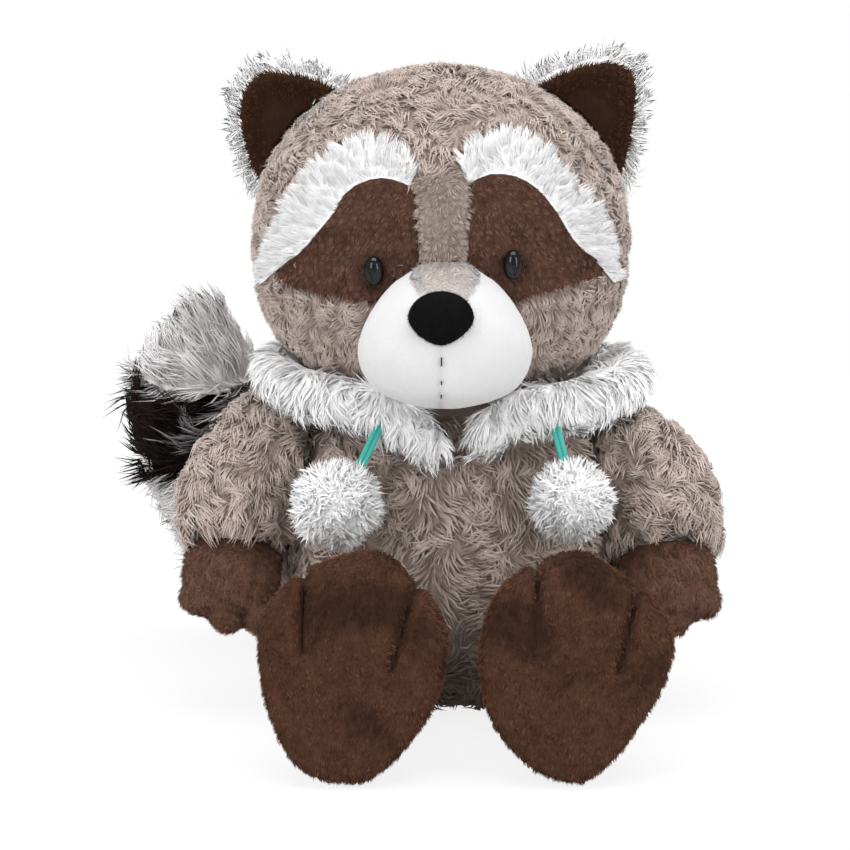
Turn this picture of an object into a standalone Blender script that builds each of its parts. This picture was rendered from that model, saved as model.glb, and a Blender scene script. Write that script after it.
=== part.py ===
"""Seated plush raccoon with a hood collar, two drawstrings and a ringed tail.

Metres, +Z up. The toy looks along -Y and sits with the flat seat of its torso on z = 0.
The origin is the middle of that seat. Right and left are the toy's own.
Each stuffed piece is one solid: its fabric skin and its filling together.
"""

import math

import bmesh
import bpy
from mathutils import Vector
from mathutils.bvhtree import BVHTree

# Seams and fits
SEAM = 0.0003
PANEL_THICKNESS = 0.0013
PANEL_LIFT = 0.0009

# Torso, with the height share and girth share of each level between the seat and the neck
TORSO_HEIGHT = 0.112
TORSO_WIDTH = 0.126
TORSO_DEPTH = 0.104
SEAT_WIDTH = 0.092
SEAT_DEPTH = 0.074
NECK_WIDTH = 0.060
NECK_DEPTH = 0.056
TORSO_PROFILE = ((0.05, 0.86), (0.14, 0.95), (0.30, 1.0), (0.55, 0.98), (0.76, 0.91), (0.90, 0.80),
                 (0.97, 0.66))

# Head, with its middle moved off the torso's middle
HEAD_WIDTH = 0.134
HEAD_DEPTH = 0.112
HEAD_HEIGHT = 0.116
HEAD_SIDE_SHIFT = -0.004
HEAD_FORWARD_SHIFT = 0.008
CROWN_ROUNDNESS = 2.0
CHEEK_ROUNDNESS = 2.8
NECK_FLAT = 0.97
CROWN_ANGLE = 87.5

# Muzzle, nose and mouth
MUZZLE_WIDTH = 0.060
MUZZLE_HEIGHT = 0.048
MUZZLE_REACH = 0.036
MUZZLE_ROOT = 0.024
MUZZLE_DROP = 0.029
MUZZLE_SIDE_SHIFT = 0.001
NOSE_WIDTH = 0.0225
NOSE_HEIGHT = 0.0185
NOSE_DEPTH = 0.014
NOSE_RISE = 0.0098
NOSE_SIDE_SHIFT = -0.0015
MUZZLE_TOP_TILT = 50.0
STITCH_WIDTH = 0.0011
STITCH_THICKNESS = 0.0006
STITCH_TOP = -4.0
STITCH_BOTTOM = -44.0

# Eyes: oval beads on a shank, each held by a washer behind the fabric
EYE_WIDTH = 0.0066
EYE_HEIGHT = 0.0102
EYE_DOME = 0.0034
SHANK_RADIUS = 0.0012
SHANK_LENGTH = 0.0085
WASHER_RADIUS = 0.0045
WASHER_THICKNESS = 0.0012
WASHER_DEPTH = 0.0040

# Ears
EAR_FRONT_THICKNESS = 0.0036
EAR_BACK_THICKNESS = 0.0085
EAR_WIDTH = 0.043
EAR_HEIGHT = 0.026
EAR_RIGHT_ANGLE = 53.8
EAR_LEFT_ANGLE = 51.0
EAR_SINK = 0.0045
EAR_SET_BACK = 0.010
EAR_BACK_MARGIN = 1.07

# Collar, a fluffy band whose two ends meet in a V on the chest
COLLAR_WIDTH = 0.0195
COLLAR_THICKNESS = 0.0110
COLLAR_TUCK = 0.001
COLLAR_BACK_TUCK = 0.012

# Drawstrings and pompoms
CORD_DIAMETER = 0.0034
CORD_POINT_STEP = 0.0080
BORE_MARGIN = 0.0005
POMPOM_RIGHT_RADIUS = 0.0158
POMPOM_LEFT_RADIUS = 0.0148
POMPOM_DROP = 0.0045

# Arms and paws
ARM_SINK = 0.017
ARM_RIGHT_DROP = 0.016
ARM_LEFT_DROP = 0.023
ARM_RIGHT_OUT = 0.031
ARM_LEFT_OUT = 0.029
ARM_FORWARD = 0.028
SHOULDER_SET_BACK = 0.002
ARM_RIGHT_DOWN = 0.038
ARM_LEFT_DOWN = 0.033
ARM_SHOULDER_RADIUS = 0.0185
ARM_SLEEVE_RADIUS = 0.0215
PAW_LENGTH = 0.033
PAW_WIDTH = 0.037
PAW_DEPTH = 0.028
FINGER_RADIUS = 0.0075

# Legs and feet
LEG_RADIUS = 0.024
LEG_SINK = 0.030
LEG_CLEARANCE = 0.001
LEG_RISE = 0.008
HIP_SHARE = 0.82
ANKLE_SHARE = 0.85
FOOT_WIDTH = 0.066
FOOT_LENGTH = 0.0765
FOOT_THICKNESS = 0.034
FOOT_SPACING = 0.073
FOOT_SIDE_SHIFT = 0.0035
FOOT_REACH = 0.134
FOOT_LEAN = 12.0
SOLE_THICKNESS = 0.0060
DART_LENGTH = 0.024
DART_WIDTH = 0.0014
DART_DEPTH = 0.0030
DART_OVERRUN = 0.012
DART_TAPER = 0.0024

# Tail
TAIL_ROOT_RADIUS = 0.015
TAIL_RADIUS = 0.0265
TAIL_TIP_RADIUS = 0.006
TAIL_SINK = 0.008
TAIL_SEAM = 0.0006
TAIL_SIDE_SHIFT = -0.014
TAIL_OUT = 0.076
TAIL_BACK = 0.018
TAIL_ROOT_HEIGHT = 0.022
TAIL_RISE = 0.113

# Mesh fineness
SIDES = 18

TAUPE = (0.36, 0.28, 0.24)
BROWN = (0.085, 0.030, 0.018)
WHITE = (0.80, 0.80, 0.82)
BLACK = (0.008, 0.008, 0.009)
TURQUOISE = (0.07, 0.47, 0.42)
TAIL_BLACK = (0.016, 0.009, 0.009)
TAIL_GREY = (0.48, 0.45, 0.45)
THREAD = (0.10, 0.09, 0.09)
CLEAR_PLASTIC = (0.60, 0.60, 0.60)


def clear_scene():
    """Remove every object of the opened file."""
    for old in list(bpy.data.objects):
        bpy.data.objects.remove(old, do_unlink=True)


def fabric(name, colour, roughness=0.9):
    """A plain Principled material for one piece."""
    material = bpy.data.materials.new(name)
    material.use_nodes = True
    shader = material.node_tree.nodes["Principled BSDF"]
    shader.inputs["Base Color"].default_value = (*colour, 1.0)
    shader.inputs["Roughness"].default_value = roughness
    return material


def smooth_rows(rows, count, closed=False):
    """Rows of numbers read at even steps from a smooth curve through the given rows."""
    spans = len(rows) if closed else len(rows) - 1
    result = []
    for index in range(count):
        place = index * spans / (count if closed else count - 1)
        span = min(int(place), spans - 1)
        part = place - span

        def row(step):
            at = span + step
            return rows[at % len(rows)] if closed else rows[max(0, min(at, len(rows) - 1))]

        before, start, end, after = row(-1), row(0), row(1), row(2)
        result.append(tuple(
            0.5 * (2 * b + (c - a) * part + (2 * a - 5 * b + 4 * c - d) * part ** 2
                   + (3 * b - a - 3 * c + d) * part ** 3)
            for a, b, c, d in zip(before, start, end, after)))
    return result


def oval(middle, across, along, half_across, half_along, sides=SIDES, roundness=2.0):
    """Points of a superellipse ring about its middle, in the plane of two unit vectors."""
    points = []
    for index in range(sides):
        angle = math.tau * index / sides
        cosine, sine = math.cos(angle), math.sin(angle)
        u = math.copysign(abs(cosine) ** (2 / roundness), cosine)
        v = math.copysign(abs(sine) ** (2 / roundness), sine)
        points.append(middle + across * (half_across * u) + along * (half_along * v))
    return points


def add_mesh(name, vertices, faces, material=None):
    """Make an object from points and faces, with its normals pointing out."""
    mesh = bpy.data.meshes.new(name)
    mesh.from_pydata([tuple(v) for v in vertices], [], faces)
    body = bmesh.new()
    body.from_mesh(mesh)
    bmesh.ops.recalc_face_normals(body, faces=body.faces)
    if body.calc_volume(signed=True) < 0:
        bmesh.ops.reverse_faces(body, faces=body.faces)
    body.to_mesh(mesh)
    body.free()
    mesh.shade_smooth()
    result = bpy.data.objects.new(name, mesh)
    bpy.context.scene.collection.objects.link(result)
    if material:
        mesh.materials.append(material)
    return result


def loft(name, rings, material=None, hollow=False):
    """A closed solid through rings of equal count.

    It has a flat cap at each end, or where it is hollow its last ring joins its first.
    """
    sides = len(rings[0])
    vertices = [point for ring in rings for point in ring]
    faces = []
    for row in range(len(rings) if hollow else len(rings) - 1):
        low, high = row * sides, (row + 1) % len(rings) * sides
        for index in range(sides):
            following = (index + 1) % sides
            faces.append((low + index, low + following, high + following, high + index))
    if not hollow:
        last = (len(rings) - 1) * sides
        faces.append(tuple(range(sides)))
        faces.append(tuple(range(last, last + sides)))
    return add_mesh(name, vertices, faces, material)


def guide(item):
    """Keep an object out of the model: it only cuts or guides."""
    item.hide_render = True
    item.display_type = "WIRE"
    return item


def grown(item, margin=SEAM):
    """A cutter of an object's own shape, larger all round by a margin."""
    mesh = item.data.copy()
    body = bmesh.new()
    body.from_mesh(mesh)
    body.normal_update()
    for vertex in body.verts:
        vertex.co += vertex.normal * margin * vertex.calc_shell_factor()
    body.to_mesh(mesh)
    body.free()
    cutter = bpy.data.objects.new(item.name + "_cutter", mesh)
    bpy.context.scene.collection.objects.link(cutter)
    return guide(cutter)


def boolean(item, other, operation="DIFFERENCE"):
    """Cut another object out of an object, or join it on."""
    modifier = item.modifiers.new(other.name, "BOOLEAN")
    modifier.operation = operation
    modifier.solver = "EXACT"
    modifier.object = other


def cut(item, cutters):
    """Cut each of the cutters out of an object."""
    for cutter in cutters:
        boolean(item, cutter)


def surface_of(item):
    """The object's mesh as a tree that rays can be cast at."""
    body = bmesh.new()
    body.from_mesh(item.data)
    bmesh.ops.triangulate(body, faces=body.faces)
    tree = BVHTree.FromBMesh(body)
    body.free()
    return tree


def aim(azimuth, elevation, tilt=0.0):
    """Unit vector at an azimuth from straight ahead and an elevation, all tilted up."""
    a, e, t = math.radians(azimuth), math.radians(elevation), math.radians(tilt)
    x = math.sin(a) * math.cos(e)
    ahead = math.cos(a) * math.cos(e)
    up = math.sin(e)
    return Vector((x, -(ahead * math.cos(t) - up * math.sin(t)), ahead * math.sin(t) + up * math.cos(t)))


def panel(name, surface, middle, upper, lower, material, columns=12, rows=4,
          thickness=PANEL_THICKNESS, tilt=0.0, lift=PANEL_LIFT):
    """A sewn panel that lies on a surface between two edge curves of angles."""
    top = smooth_rows(upper, columns)
    bottom = smooth_rows(lower, columns)
    inner, outer = [], []
    for row in range(rows):
        share = row / (rows - 1)
        for column in range(columns):
            azimuth = top[column][0] * (1 - share) + bottom[column][0] * share
            elevation = top[column][1] * (1 - share) + bottom[column][1] * share
            direction = aim(azimuth, elevation, tilt)
            seat = surface.ray_cast(middle + direction, -direction)[0]
            inner.append(seat + direction * lift)
            outer.append(seat + direction * (lift + thickness))
    faces = []
    count = rows * columns
    for row in range(rows - 1):
        for column in range(columns - 1):
            a = row * columns + column
            b, c, d = a + 1, a + columns + 1, a + columns
            faces += [(a, b, c), (a, c, d)]
            faces += [(a + count, c + count, b + count), (a + count, d + count, c + count)]
    rim = list(range(columns))
    rim += [row * columns + columns - 1 for row in range(1, rows)]
    rim += [(rows - 1) * columns + column for column in range(columns - 2, -1, -1)]
    rim += [row * columns for row in range(rows - 2, 0, -1)]
    for start, end in zip(rim, rim[1:] + rim[:1]):
        faces.append((start, start + count, end + count, end))
    return add_mesh(name, inner + outer, faces, material)


def route_frame(route, radii, share, reference=(0, 1, 0), fine=97):
    """The place, radius, heading and two cross directions at a share of a smooth route."""
    samples = smooth_rows([(*point, radius) for point, radius in zip(route, radii)], fine)

    def read(at):
        place = min(max(at, 0.0), 1.0) * (fine - 1)
        low = min(int(place), fine - 2)
        return [a + (b - a) * (place - low) for a, b in zip(samples[low], samples[low + 1])]

    here, before, after = read(share), read(share - 1 / fine), read(share + 1 / fine)
    ahead = (Vector(after[:3]) - Vector(before[:3])).normalized()
    across = ahead.cross(Vector(reference)).normalized()
    return Vector(here[:3]), here[3], ahead, across, ahead.cross(across).normalized()


def swept(name, route, radii, material=None, rows=10, sides=SIDES, reference=(0, 1, 0),
          start=0.0, end=1.0):
    """A round stuffed tube along a smooth route, or a stretch of it between two flat seams."""
    rings = []
    for row in range(rows):
        share = start + (end - start) * row / (rows - 1)
        middle, radius, _, across, along = route_frame(route, radii, share, reference)
        rings.append(oval(middle, across, along, radius, radius, sides))
    return loft(name, rings, material)


def pillow(name, outline, direction, steps, material=None):
    """A stuffed shape: an outline pushed along a direction and drawn in about its middle.

    Each step is a distance along the direction and the outline's size there.
    """
    middle = sum(outline, Vector()) / len(outline)
    rings = [[middle + (point - middle) * size + direction * distance for point in outline]
             for distance, size in steps]
    return loft(name, rings, material)


def turned(name, seat, axis, profile, material=None, sides=14, hollow=False):
    """A solid of oval rings along an axis: each ring an offset, a half width and a half height."""
    across = Vector((0, 0, 1)).cross(axis).normalized()
    along = axis.cross(across).normalized()
    rings = [oval(seat + axis * offset, across, along, half_width, half_height, sides)
             for offset, half_width, half_height in profile]
    return loft(name, rings, material, hollow)


def ball(name, middle, radius, material=None, subdivisions=3):
    """A round ball."""
    body = bmesh.new()
    bmesh.ops.create_icosphere(body, subdivisions=subdivisions, radius=radius)
    vertices = [middle + vertex.co for vertex in body.verts]
    faces = [[vertex.index for vertex in face.verts] for face in body.faces]
    body.free()
    return add_mesh(name, vertices, faces, material)


def cord(name, route, material):
    """A round cord as a bevelled curve through points read from a smooth line."""
    length = sum((Vector(b) - Vector(a)).length for a, b in zip(route, route[1:]))
    count = max(4, round(length / CORD_POINT_STEP) + 1)
    curve = bpy.data.curves.new(name, "CURVE")
    curve.dimensions = "3D"
    spline = curve.splines.new("POLY")
    spline.points.add(count - 1)
    for point, place in zip(spline.points, smooth_rows(route, count)):
        point.co = (*place, 1.0)
    curve.bevel_depth = CORD_DIAMETER / 2
    curve.bevel_resolution = 2
    curve.use_fill_caps = True
    curve.materials.append(material)
    bpy.context.scene.collection.objects.link(bpy.data.objects.new(name, curve))


# Torso and head

HEAD_BASE = TORSO_HEIGHT + SEAM
HEAD_MIDDLE = Vector((HEAD_SIDE_SHIFT, -HEAD_FORWARD_SHIFT, HEAD_BASE + HEAD_HEIGHT / 2 * NECK_FLAT))


def build_torso():
    """The stuffed torso, from its flat seat up to the neck seam."""
    rows = [(0.0, SEAT_WIDTH / 2, SEAT_DEPTH / 2)]
    rows += [(TORSO_HEIGHT * height, TORSO_WIDTH / 2 * girth, TORSO_DEPTH / 2 * girth)
             for height, girth in TORSO_PROFILE]
    rows.append((TORSO_HEIGHT, NECK_WIDTH / 2, NECK_DEPTH / 2))
    rings = [oval(Vector((0, 0, height)), Vector((1, 0, 0)), Vector((0, 1, 0)), width, depth, 22)
             for height, width, depth in smooth_rows(rows, 12)]
    return loft("torso", rings, fabric("torso_fur", TAUPE))


def build_head():
    """The stuffed head: a round crown over fuller cheeks, flat where it meets the neck."""
    rings = []
    rows = 15
    first = math.asin(-NECK_FLAT)
    for row in range(rows):
        angle = first + (math.radians(CROWN_ANGLE) - first) * row / (rows - 1)
        height = math.sin(angle)
        roundness = CROWN_ROUNDNESS if height > 0 else CHEEK_ROUNDNESS
        girth = (1 - abs(height) ** roundness) ** (1 / roundness)
        middle = HEAD_MIDDLE + Vector((0, 0, HEAD_HEIGHT / 2 * height))
        rings.append(oval(middle, Vector((1, 0, 0)), Vector((0, 1, 0)), HEAD_WIDTH / 2 * girth,
                          HEAD_DEPTH / 2 * girth, 28))
    return loft("head", rings, fabric("head_fur", TAUPE))


# Muzzle: height share, width share and reach share of each level, from the chin up
MUZZLE_PROFILE = ((0.0, 0.30, 0.40), (0.05, 0.62, 0.62), (0.16, 0.88, 0.84), (0.36, 1.0, 0.97),
                  (0.56, 0.93, 1.0), (0.76, 0.74, 0.92), (0.91, 0.50, 0.66), (1.0, 0.24, 0.42))
MUZZLE_MIDDLE = HEAD_MIDDLE + Vector((MUZZLE_SIDE_SHIFT, -HEAD_DEPTH / 2, -MUZZLE_DROP))


def build_muzzle(head_cutter):
    """The stuffed muzzle: fuller towards the chin, its back seated on the head."""
    rings = []
    for height, width, reach in smooth_rows(MUZZLE_PROFILE, 12):
        front = MUZZLE_REACH * reach
        depth = (front + MUZZLE_ROOT) / 2
        middle = MUZZLE_MIDDLE + Vector((0, depth - front, MUZZLE_HEIGHT * (height - 0.5)))
        rings.append(oval(middle, Vector((1, 0, 0)), Vector((0, 1, 0)), MUZZLE_WIDTH / 2 * width, depth,
                          roundness=2.2))
    muzzle = loft("muzzle", rings, fabric("muzzle_plush", WHITE, 0.8))
    muzzle_cutter = grown(muzzle)
    cut(muzzle, [head_cutter])
    return muzzle, muzzle_cutter


# Nose: height share and width share of each level, from the lower point up
NOSE_PROFILE = ((0.0, 0.16), (0.10, 0.42), (0.32, 0.76), (0.58, 0.98), (0.78, 0.97), (0.93, 0.72),
                (1.0, 0.40))
MUZZLE_TOP_UPPER = ((-26, 22), (-14, 27), (0, 29), (14, 27), (24, 21))
MUZZLE_TOP_LOWER = ((-26, 8), (-12, -4), (-1, -8), (10, -4), (24, 8))


def build_muzzle_trim(muzzle, muzzle_cutter, blockers):
    """The nose, the taupe patch above it and the stitched mouth line below it."""
    surface = surface_of(muzzle)
    patch = panel("muzzle_top", surface, MUZZLE_MIDDLE, MUZZLE_TOP_UPPER, MUZZLE_TOP_LOWER,
                  fabric("muzzle_top_pile", TAUPE), columns=9, rows=4, tilt=MUZZLE_TOP_TILT)
    patch_cutter = grown(patch)
    cut(patch, blockers)
    rings = []
    base = MUZZLE_MIDDLE + Vector((NOSE_SIDE_SHIFT, 0, NOSE_RISE))
    reach = surface.ray_cast(base - Vector((0, 1, 0)), Vector((0, 1, 0)))[0].y
    for height, width in smooth_rows(NOSE_PROFILE, 9):
        middle = Vector((base.x, reach, base.z + NOSE_HEIGHT * (height - 0.5)))
        rings.append(oval(middle, Vector((1, 0, 0)), Vector((0, 1, 0)), NOSE_WIDTH / 2 * width,
                          NOSE_DEPTH / 2 * math.sqrt(width), 20))
    nose = loft("nose", rings, fabric("nose_velvet", BLACK, 0.7))
    nose_cutter = grown(nose)
    cut(nose, [muzzle_cutter, patch_cutter])
    half = math.degrees(STITCH_WIDTH / 2 / MUZZLE_REACH)
    lean = math.degrees(NOSE_SIDE_SHIFT / MUZZLE_REACH)
    ends = (STITCH_TOP, STITCH_BOTTOM)
    stitch = panel("mouth_stitch", surface, MUZZLE_MIDDLE, [(lean - half, at) for at in ends],
                   [(lean + half, at) for at in ends], fabric("mouth_thread", THREAD),
                   columns=9, rows=2, thickness=STITCH_THICKNESS)
    cut(stitch, [nose_cutter])


# Face panels, as azimuth and elevation in degrees about the head's middle
BROW_RIGHT_UPPER = ((-11, 26), (-15, 32), (-24, 36), (-39, 35), (-50, 26), (-57, 14), (-65, 2),
                    (-77, -11))
BROW_RIGHT_LOWER = ((-12, 21), (-18, 23), (-26, 23), (-35, 18), (-39, 10), (-46, 2), (-54, -5),
                    (-76, -15))
PATCH_RIGHT_UPPER = ((-10, 20), (-18, 23), (-26, 23), (-35, 18), (-39, 10), (-46, 2), (-54, -5),
                     (-63, -10))
PATCH_RIGHT_LOWER = ((-8, -7), (-12, -12), (-20, -18), (-28, -18), (-36, -17), (-45, -16),
                     (-54, -14), (-62, -13))
BROW_LEFT_UPPER = ((7, 30), (13, 36), (22, 39), (32, 39), (41, 34), (49, 22), (60, 8), (70, -10))
BROW_LEFT_LOWER = ((10, 22), (18, 25), (27, 24), (34, 20), (40, 13), (45, 4), (52, -3), (69, -14))
PATCH_LEFT_UPPER = ((11, 22), (18, 25), (27, 24), (34, 20), (40, 13), (45, 4), (52, -3), (61, -8))
PATCH_LEFT_LOWER = ((9, -8), (12, -12), (18, -17), (26, -18), (34, -16), (43, -14), (52, -12),
                    (61, -11))
BRIDGE_RIGHT_EDGE = ((-9.5, 24), (-8.5, 16), (-7.5, 8), (-7.0, 0), (-7.0, -9))
BRIDGE_LEFT_EDGE = ((9.0, 26), (9.5, 18), (8.0, 8), (7.5, 0), (8.0, -9))
EYE_RIGHT_AIM = (-23.0, -8.0)
EYE_LEFT_AIM = (24.0, -6.0)


def build_eye(side, aim_angles, surface):
    """An oval bead eye on its shank and the lock washer behind the fabric.

    Returns the cutter for the bead's flat seat, the shank's hole and the washer's pocket.
    """
    axis = aim(*aim_angles)
    seat = surface.ray_cast(HEAD_MIDDLE + axis, -axis)[0]
    back = PANEL_LIFT + PANEL_THICKNESS + SEAM
    bead = [(back + EYE_DOME * rise, EYE_WIDTH / 2 * girth, EYE_HEIGHT / 2 * girth)
            for rise, girth in ((1.0, 0.18), (0.94, 0.45), (0.74, 0.74), (0.42, 0.94), (0.12, 1.0),
                                (0.0, 0.93))]
    shank = [(back, SHANK_RADIUS, SHANK_RADIUS), (back - SHANK_LENGTH, SHANK_RADIUS, SHANK_RADIUS)]
    turned("eye_" + side, seat, axis, bead + shank, fabric("eye_bead_" + side, BLACK, 0.08))
    hole = SHANK_RADIUS + SEAM
    washer = [(-WASHER_DEPTH, WASHER_RADIUS), (-WASHER_DEPTH - WASHER_THICKNESS, WASHER_RADIUS),
              (-WASHER_DEPTH - WASHER_THICKNESS, hole), (-WASHER_DEPTH, hole)]
    turned("eye_washer_" + side, seat, axis, [(offset, radius, radius) for offset, radius in washer],
           fabric("washer_plastic_" + side, CLEAR_PLASTIC, 0.4), hollow=True)
    pocket = WASHER_RADIUS + SEAM
    upper, lower = -WASHER_DEPTH + SEAM, -WASHER_DEPTH - WASHER_THICKNESS - SEAM
    flat = [(offset, EYE_WIDTH / 2 + SEAM, EYE_HEIGHT / 2 + SEAM)
            for offset in (back + EYE_DOME, back - SEAM)]
    bore = [(back - SEAM, hole), (upper, hole), (upper, pocket), (lower, pocket), (lower, hole),
            (back - SHANK_LENGTH - SEAM, hole)]
    return guide(turned("eye_bore_" + side, seat, axis,
                        flat + [(offset, radius, radius) for offset, radius in bore]))


def build_face(head, muzzle_cutter):
    """The eye patches, brows, nose bridge and eyes, all seated on the head.

    Returns the cutter of the nose bridge.
    """
    surface = surface_of(head)
    sides = (("right", BROW_RIGHT_UPPER, BROW_RIGHT_LOWER, PATCH_RIGHT_UPPER, PATCH_RIGHT_LOWER,
              EYE_RIGHT_AIM),
             ("left", BROW_LEFT_UPPER, BROW_LEFT_LOWER, PATCH_LEFT_UPPER, PATCH_LEFT_LOWER,
              EYE_LEFT_AIM))
    bridge = panel("nose_bridge", surface, HEAD_MIDDLE, BRIDGE_RIGHT_EDGE, BRIDGE_LEFT_EDGE,
                   fabric("nose_bridge_pile", TAUPE), columns=8, rows=4)
    bridge_cutter = grown(bridge)
    cut(bridge, [muzzle_cutter])
    for side, brow_upper, brow_lower, patch_upper, patch_lower, eye_aim in sides:
        brow = panel("brow_" + side, surface, HEAD_MIDDLE, brow_upper, brow_lower,
                     fabric("brow_fluff_" + side, WHITE), columns=14, rows=3)
        brow_cutter = grown(brow)
        boolean(bridge, brow_cutter)
        patch = panel("eye_patch_" + side, surface, HEAD_MIDDLE, patch_upper, patch_lower,
                      fabric("eye_patch_pile_" + side, BROWN))
        bore = build_eye(side, eye_aim, surface)
        cut(patch, [brow_cutter, bridge_cutter, muzzle_cutter, bore])
        cut(head, [bore])
    return bridge_cutter


# Ears, as shares of width along the head and of height away from it
EAR_RIGHT_OUTLINE = ((-0.50, -0.05), (-0.38, 0.66), (-0.24, 0.93), (0.03, 0.93), (0.33, 0.52),
                     (0.50, 0.05), (0.30, -0.40), (-0.30, -0.40))
EAR_LEFT_OUTLINE = ((-0.50, -0.08), (-0.36, 0.80), (-0.12, 1.06), (0.14, 0.80), (0.42, 0.34),
                    (0.50, 0.08), (0.30, -0.40), (-0.30, -0.40))
EAR_DISH = ((0.0, 1.0), (0.86, 0.98), (1.0, 0.86), (0.62, 0.60), (0.50, 0.28))
EAR_PUFF = ((0.0, 1.0), (0.40, 1.03), (0.80, 0.88), (1.0, 0.52))


def build_ear(side, sign, angle, outline, head_cutter):
    """One ear: a dished short-pile front against a puffed long-pile back."""
    turn = math.radians(angle)
    reach = Vector((sign * HEAD_WIDTH / 2 * math.sin(turn), 0, HEAD_HEIGHT / 2 * math.cos(turn)))
    away = reach.normalized()
    root = HEAD_MIDDLE + reach - away * EAR_SINK + Vector((0, EAR_SET_BACK, 0))
    along = Vector((sign * away.z, 0, -sign * away.x))
    points = [root + along * (EAR_WIDTH * across) + away * (EAR_HEIGHT * up)
              for across, up in smooth_rows(outline, 22, closed=True)]
    ahead = Vector((0, -1, 0))
    front = pillow("ear_front_" + side, points, ahead,
                   [(SEAM / 2 + EAR_FRONT_THICKNESS * share, size) for share, size in EAR_DISH],
                   fabric("ear_front_pile_" + side, BROWN))
    back = pillow("ear_back_" + side, points, ahead,
                  [(-SEAM / 2 - EAR_BACK_THICKNESS * share, size * EAR_BACK_MARGIN)
                   for share, size in EAR_PUFF], fabric("ear_back_fluff_" + side, WHITE))
    cut(front, [head_cutter])
    cut(back, [head_cutter])


# Arm route from the shoulder to the cuff, as shares of its reach out, forward and down
ARM_BENDS = ((0.0, 0.0, 0.0), (0.55, 0.22, 0.15), (0.94, 0.58, 0.52), (1.0, 1.0, 1.0))
CUFF_SHARE = 0.94
PAW_PROFILE = ((0.0, 0.90), (0.12, 0.98), (0.35, 1.0), (0.60, 0.93), (0.76, 0.72), (0.84, 0.40))
FINGERS = ((-0.62, 0.84), (0.0, 1.02), (0.60, 1.0))


def build_arm(side, sign, drop, out_reach, down_reach, torso_cutter):
    """One arm: a fluffy sleeve down from the shoulder and a short-pile paw with three fingers."""
    shoulder = Vector((sign * (TORSO_WIDTH / 2 - ARM_SINK), SHOULDER_SET_BACK, TORSO_HEIGHT - drop))
    route = [shoulder + Vector((sign * out_reach * out, -ARM_FORWARD * forward, -down_reach * down))
             for out, forward, down in ARM_BENDS]
    radii = [ARM_SHOULDER_RADIUS, ARM_SLEEVE_RADIUS, ARM_SLEEVE_RADIUS, ARM_SLEEVE_RADIUS * CUFF_SHARE]
    sleeve = swept("arm_" + side, route, radii, fabric("arm_fur_" + side, TAUPE), rows=8)
    sleeve_cutter = grown(sleeve)
    cut(sleeve, [torso_cutter])
    cuff, _, ahead, across, along = route_frame(route, radii, 1.0)
    across = across * -sign
    rings = []
    for share, girth in PAW_PROFILE:
        middle = cuff + ahead * (SEAM + PAW_LENGTH * share)
        rings.append(oval(middle, across, along, PAW_WIDTH / 2 * girth, PAW_DEPTH / 2 * girth, 16))
    paw = loft("paw_" + side, rings, fabric("paw_pile_" + side, BROWN))
    for number, (share, reach) in enumerate(FINGERS):
        tip = cuff + ahead * (PAW_LENGTH * reach - FINGER_RADIUS) + across * (PAW_WIDTH / 2 * share)
        finger = ball(f"finger_{number}_{side}", tip, FINGER_RADIUS, subdivisions=2)
        boolean(paw, guide(finger), "UNION")
    return sleeve_cutter


# Leg route between the torso and the foot, and the foot's outline from the heel round its toes.
# The outlines are shares of the foot's half width and of its length.
FOOT_RIGHT_OUTLINE = ((-0.06, 0.0), (-0.38, 0.02), (-0.64, 0.10), (-0.82, 0.25), (-0.93, 0.42),
                      (-0.97, 0.60), (-0.93, 0.74), (-0.54, 0.90), (-0.20, 0.965), (0.14, 1.0),
                      (0.42, 0.965), (0.60, 0.86), (0.80, 0.79), (0.96, 0.64), (0.91, 0.44),
                      (0.76, 0.28), (0.46, 0.11), (0.16, 0.01))
FOOT_LEFT_OUTLINE = ((-0.12, 0.005), (-0.42, 0.045), (-0.72, 0.16), (-0.91, 0.29), (-0.99, 0.45),
                     (-0.98, 0.64), (-0.82, 0.81), (-0.60, 0.90), (-0.36, 0.94), (-0.16, 0.985),
                     (0.12, 0.985), (0.42, 0.90), (0.66, 0.82), (0.86, 0.74), (0.99, 0.62),
                     (0.88, 0.42), (0.70, 0.29), (0.40, 0.11), (0.10, 0.005))
FOOT_PUFF = ((0.0, 0.985), (0.08, 1.0), (0.30, 0.98), (0.60, 0.86), (0.85, 0.62), (1.0, 0.36))
SOLE_PUFF = ((0.0, 0.985), (0.30, 0.98), (0.70, 0.90), (1.0, 0.70))
RIGHT_DARTS = ((-0.50, 0.88, 0.0), (0.57, 0.79, 16.0))
LEFT_DARTS = ((-0.40, 0.90, 0.0), (0.57, 0.79, 14.0))


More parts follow.
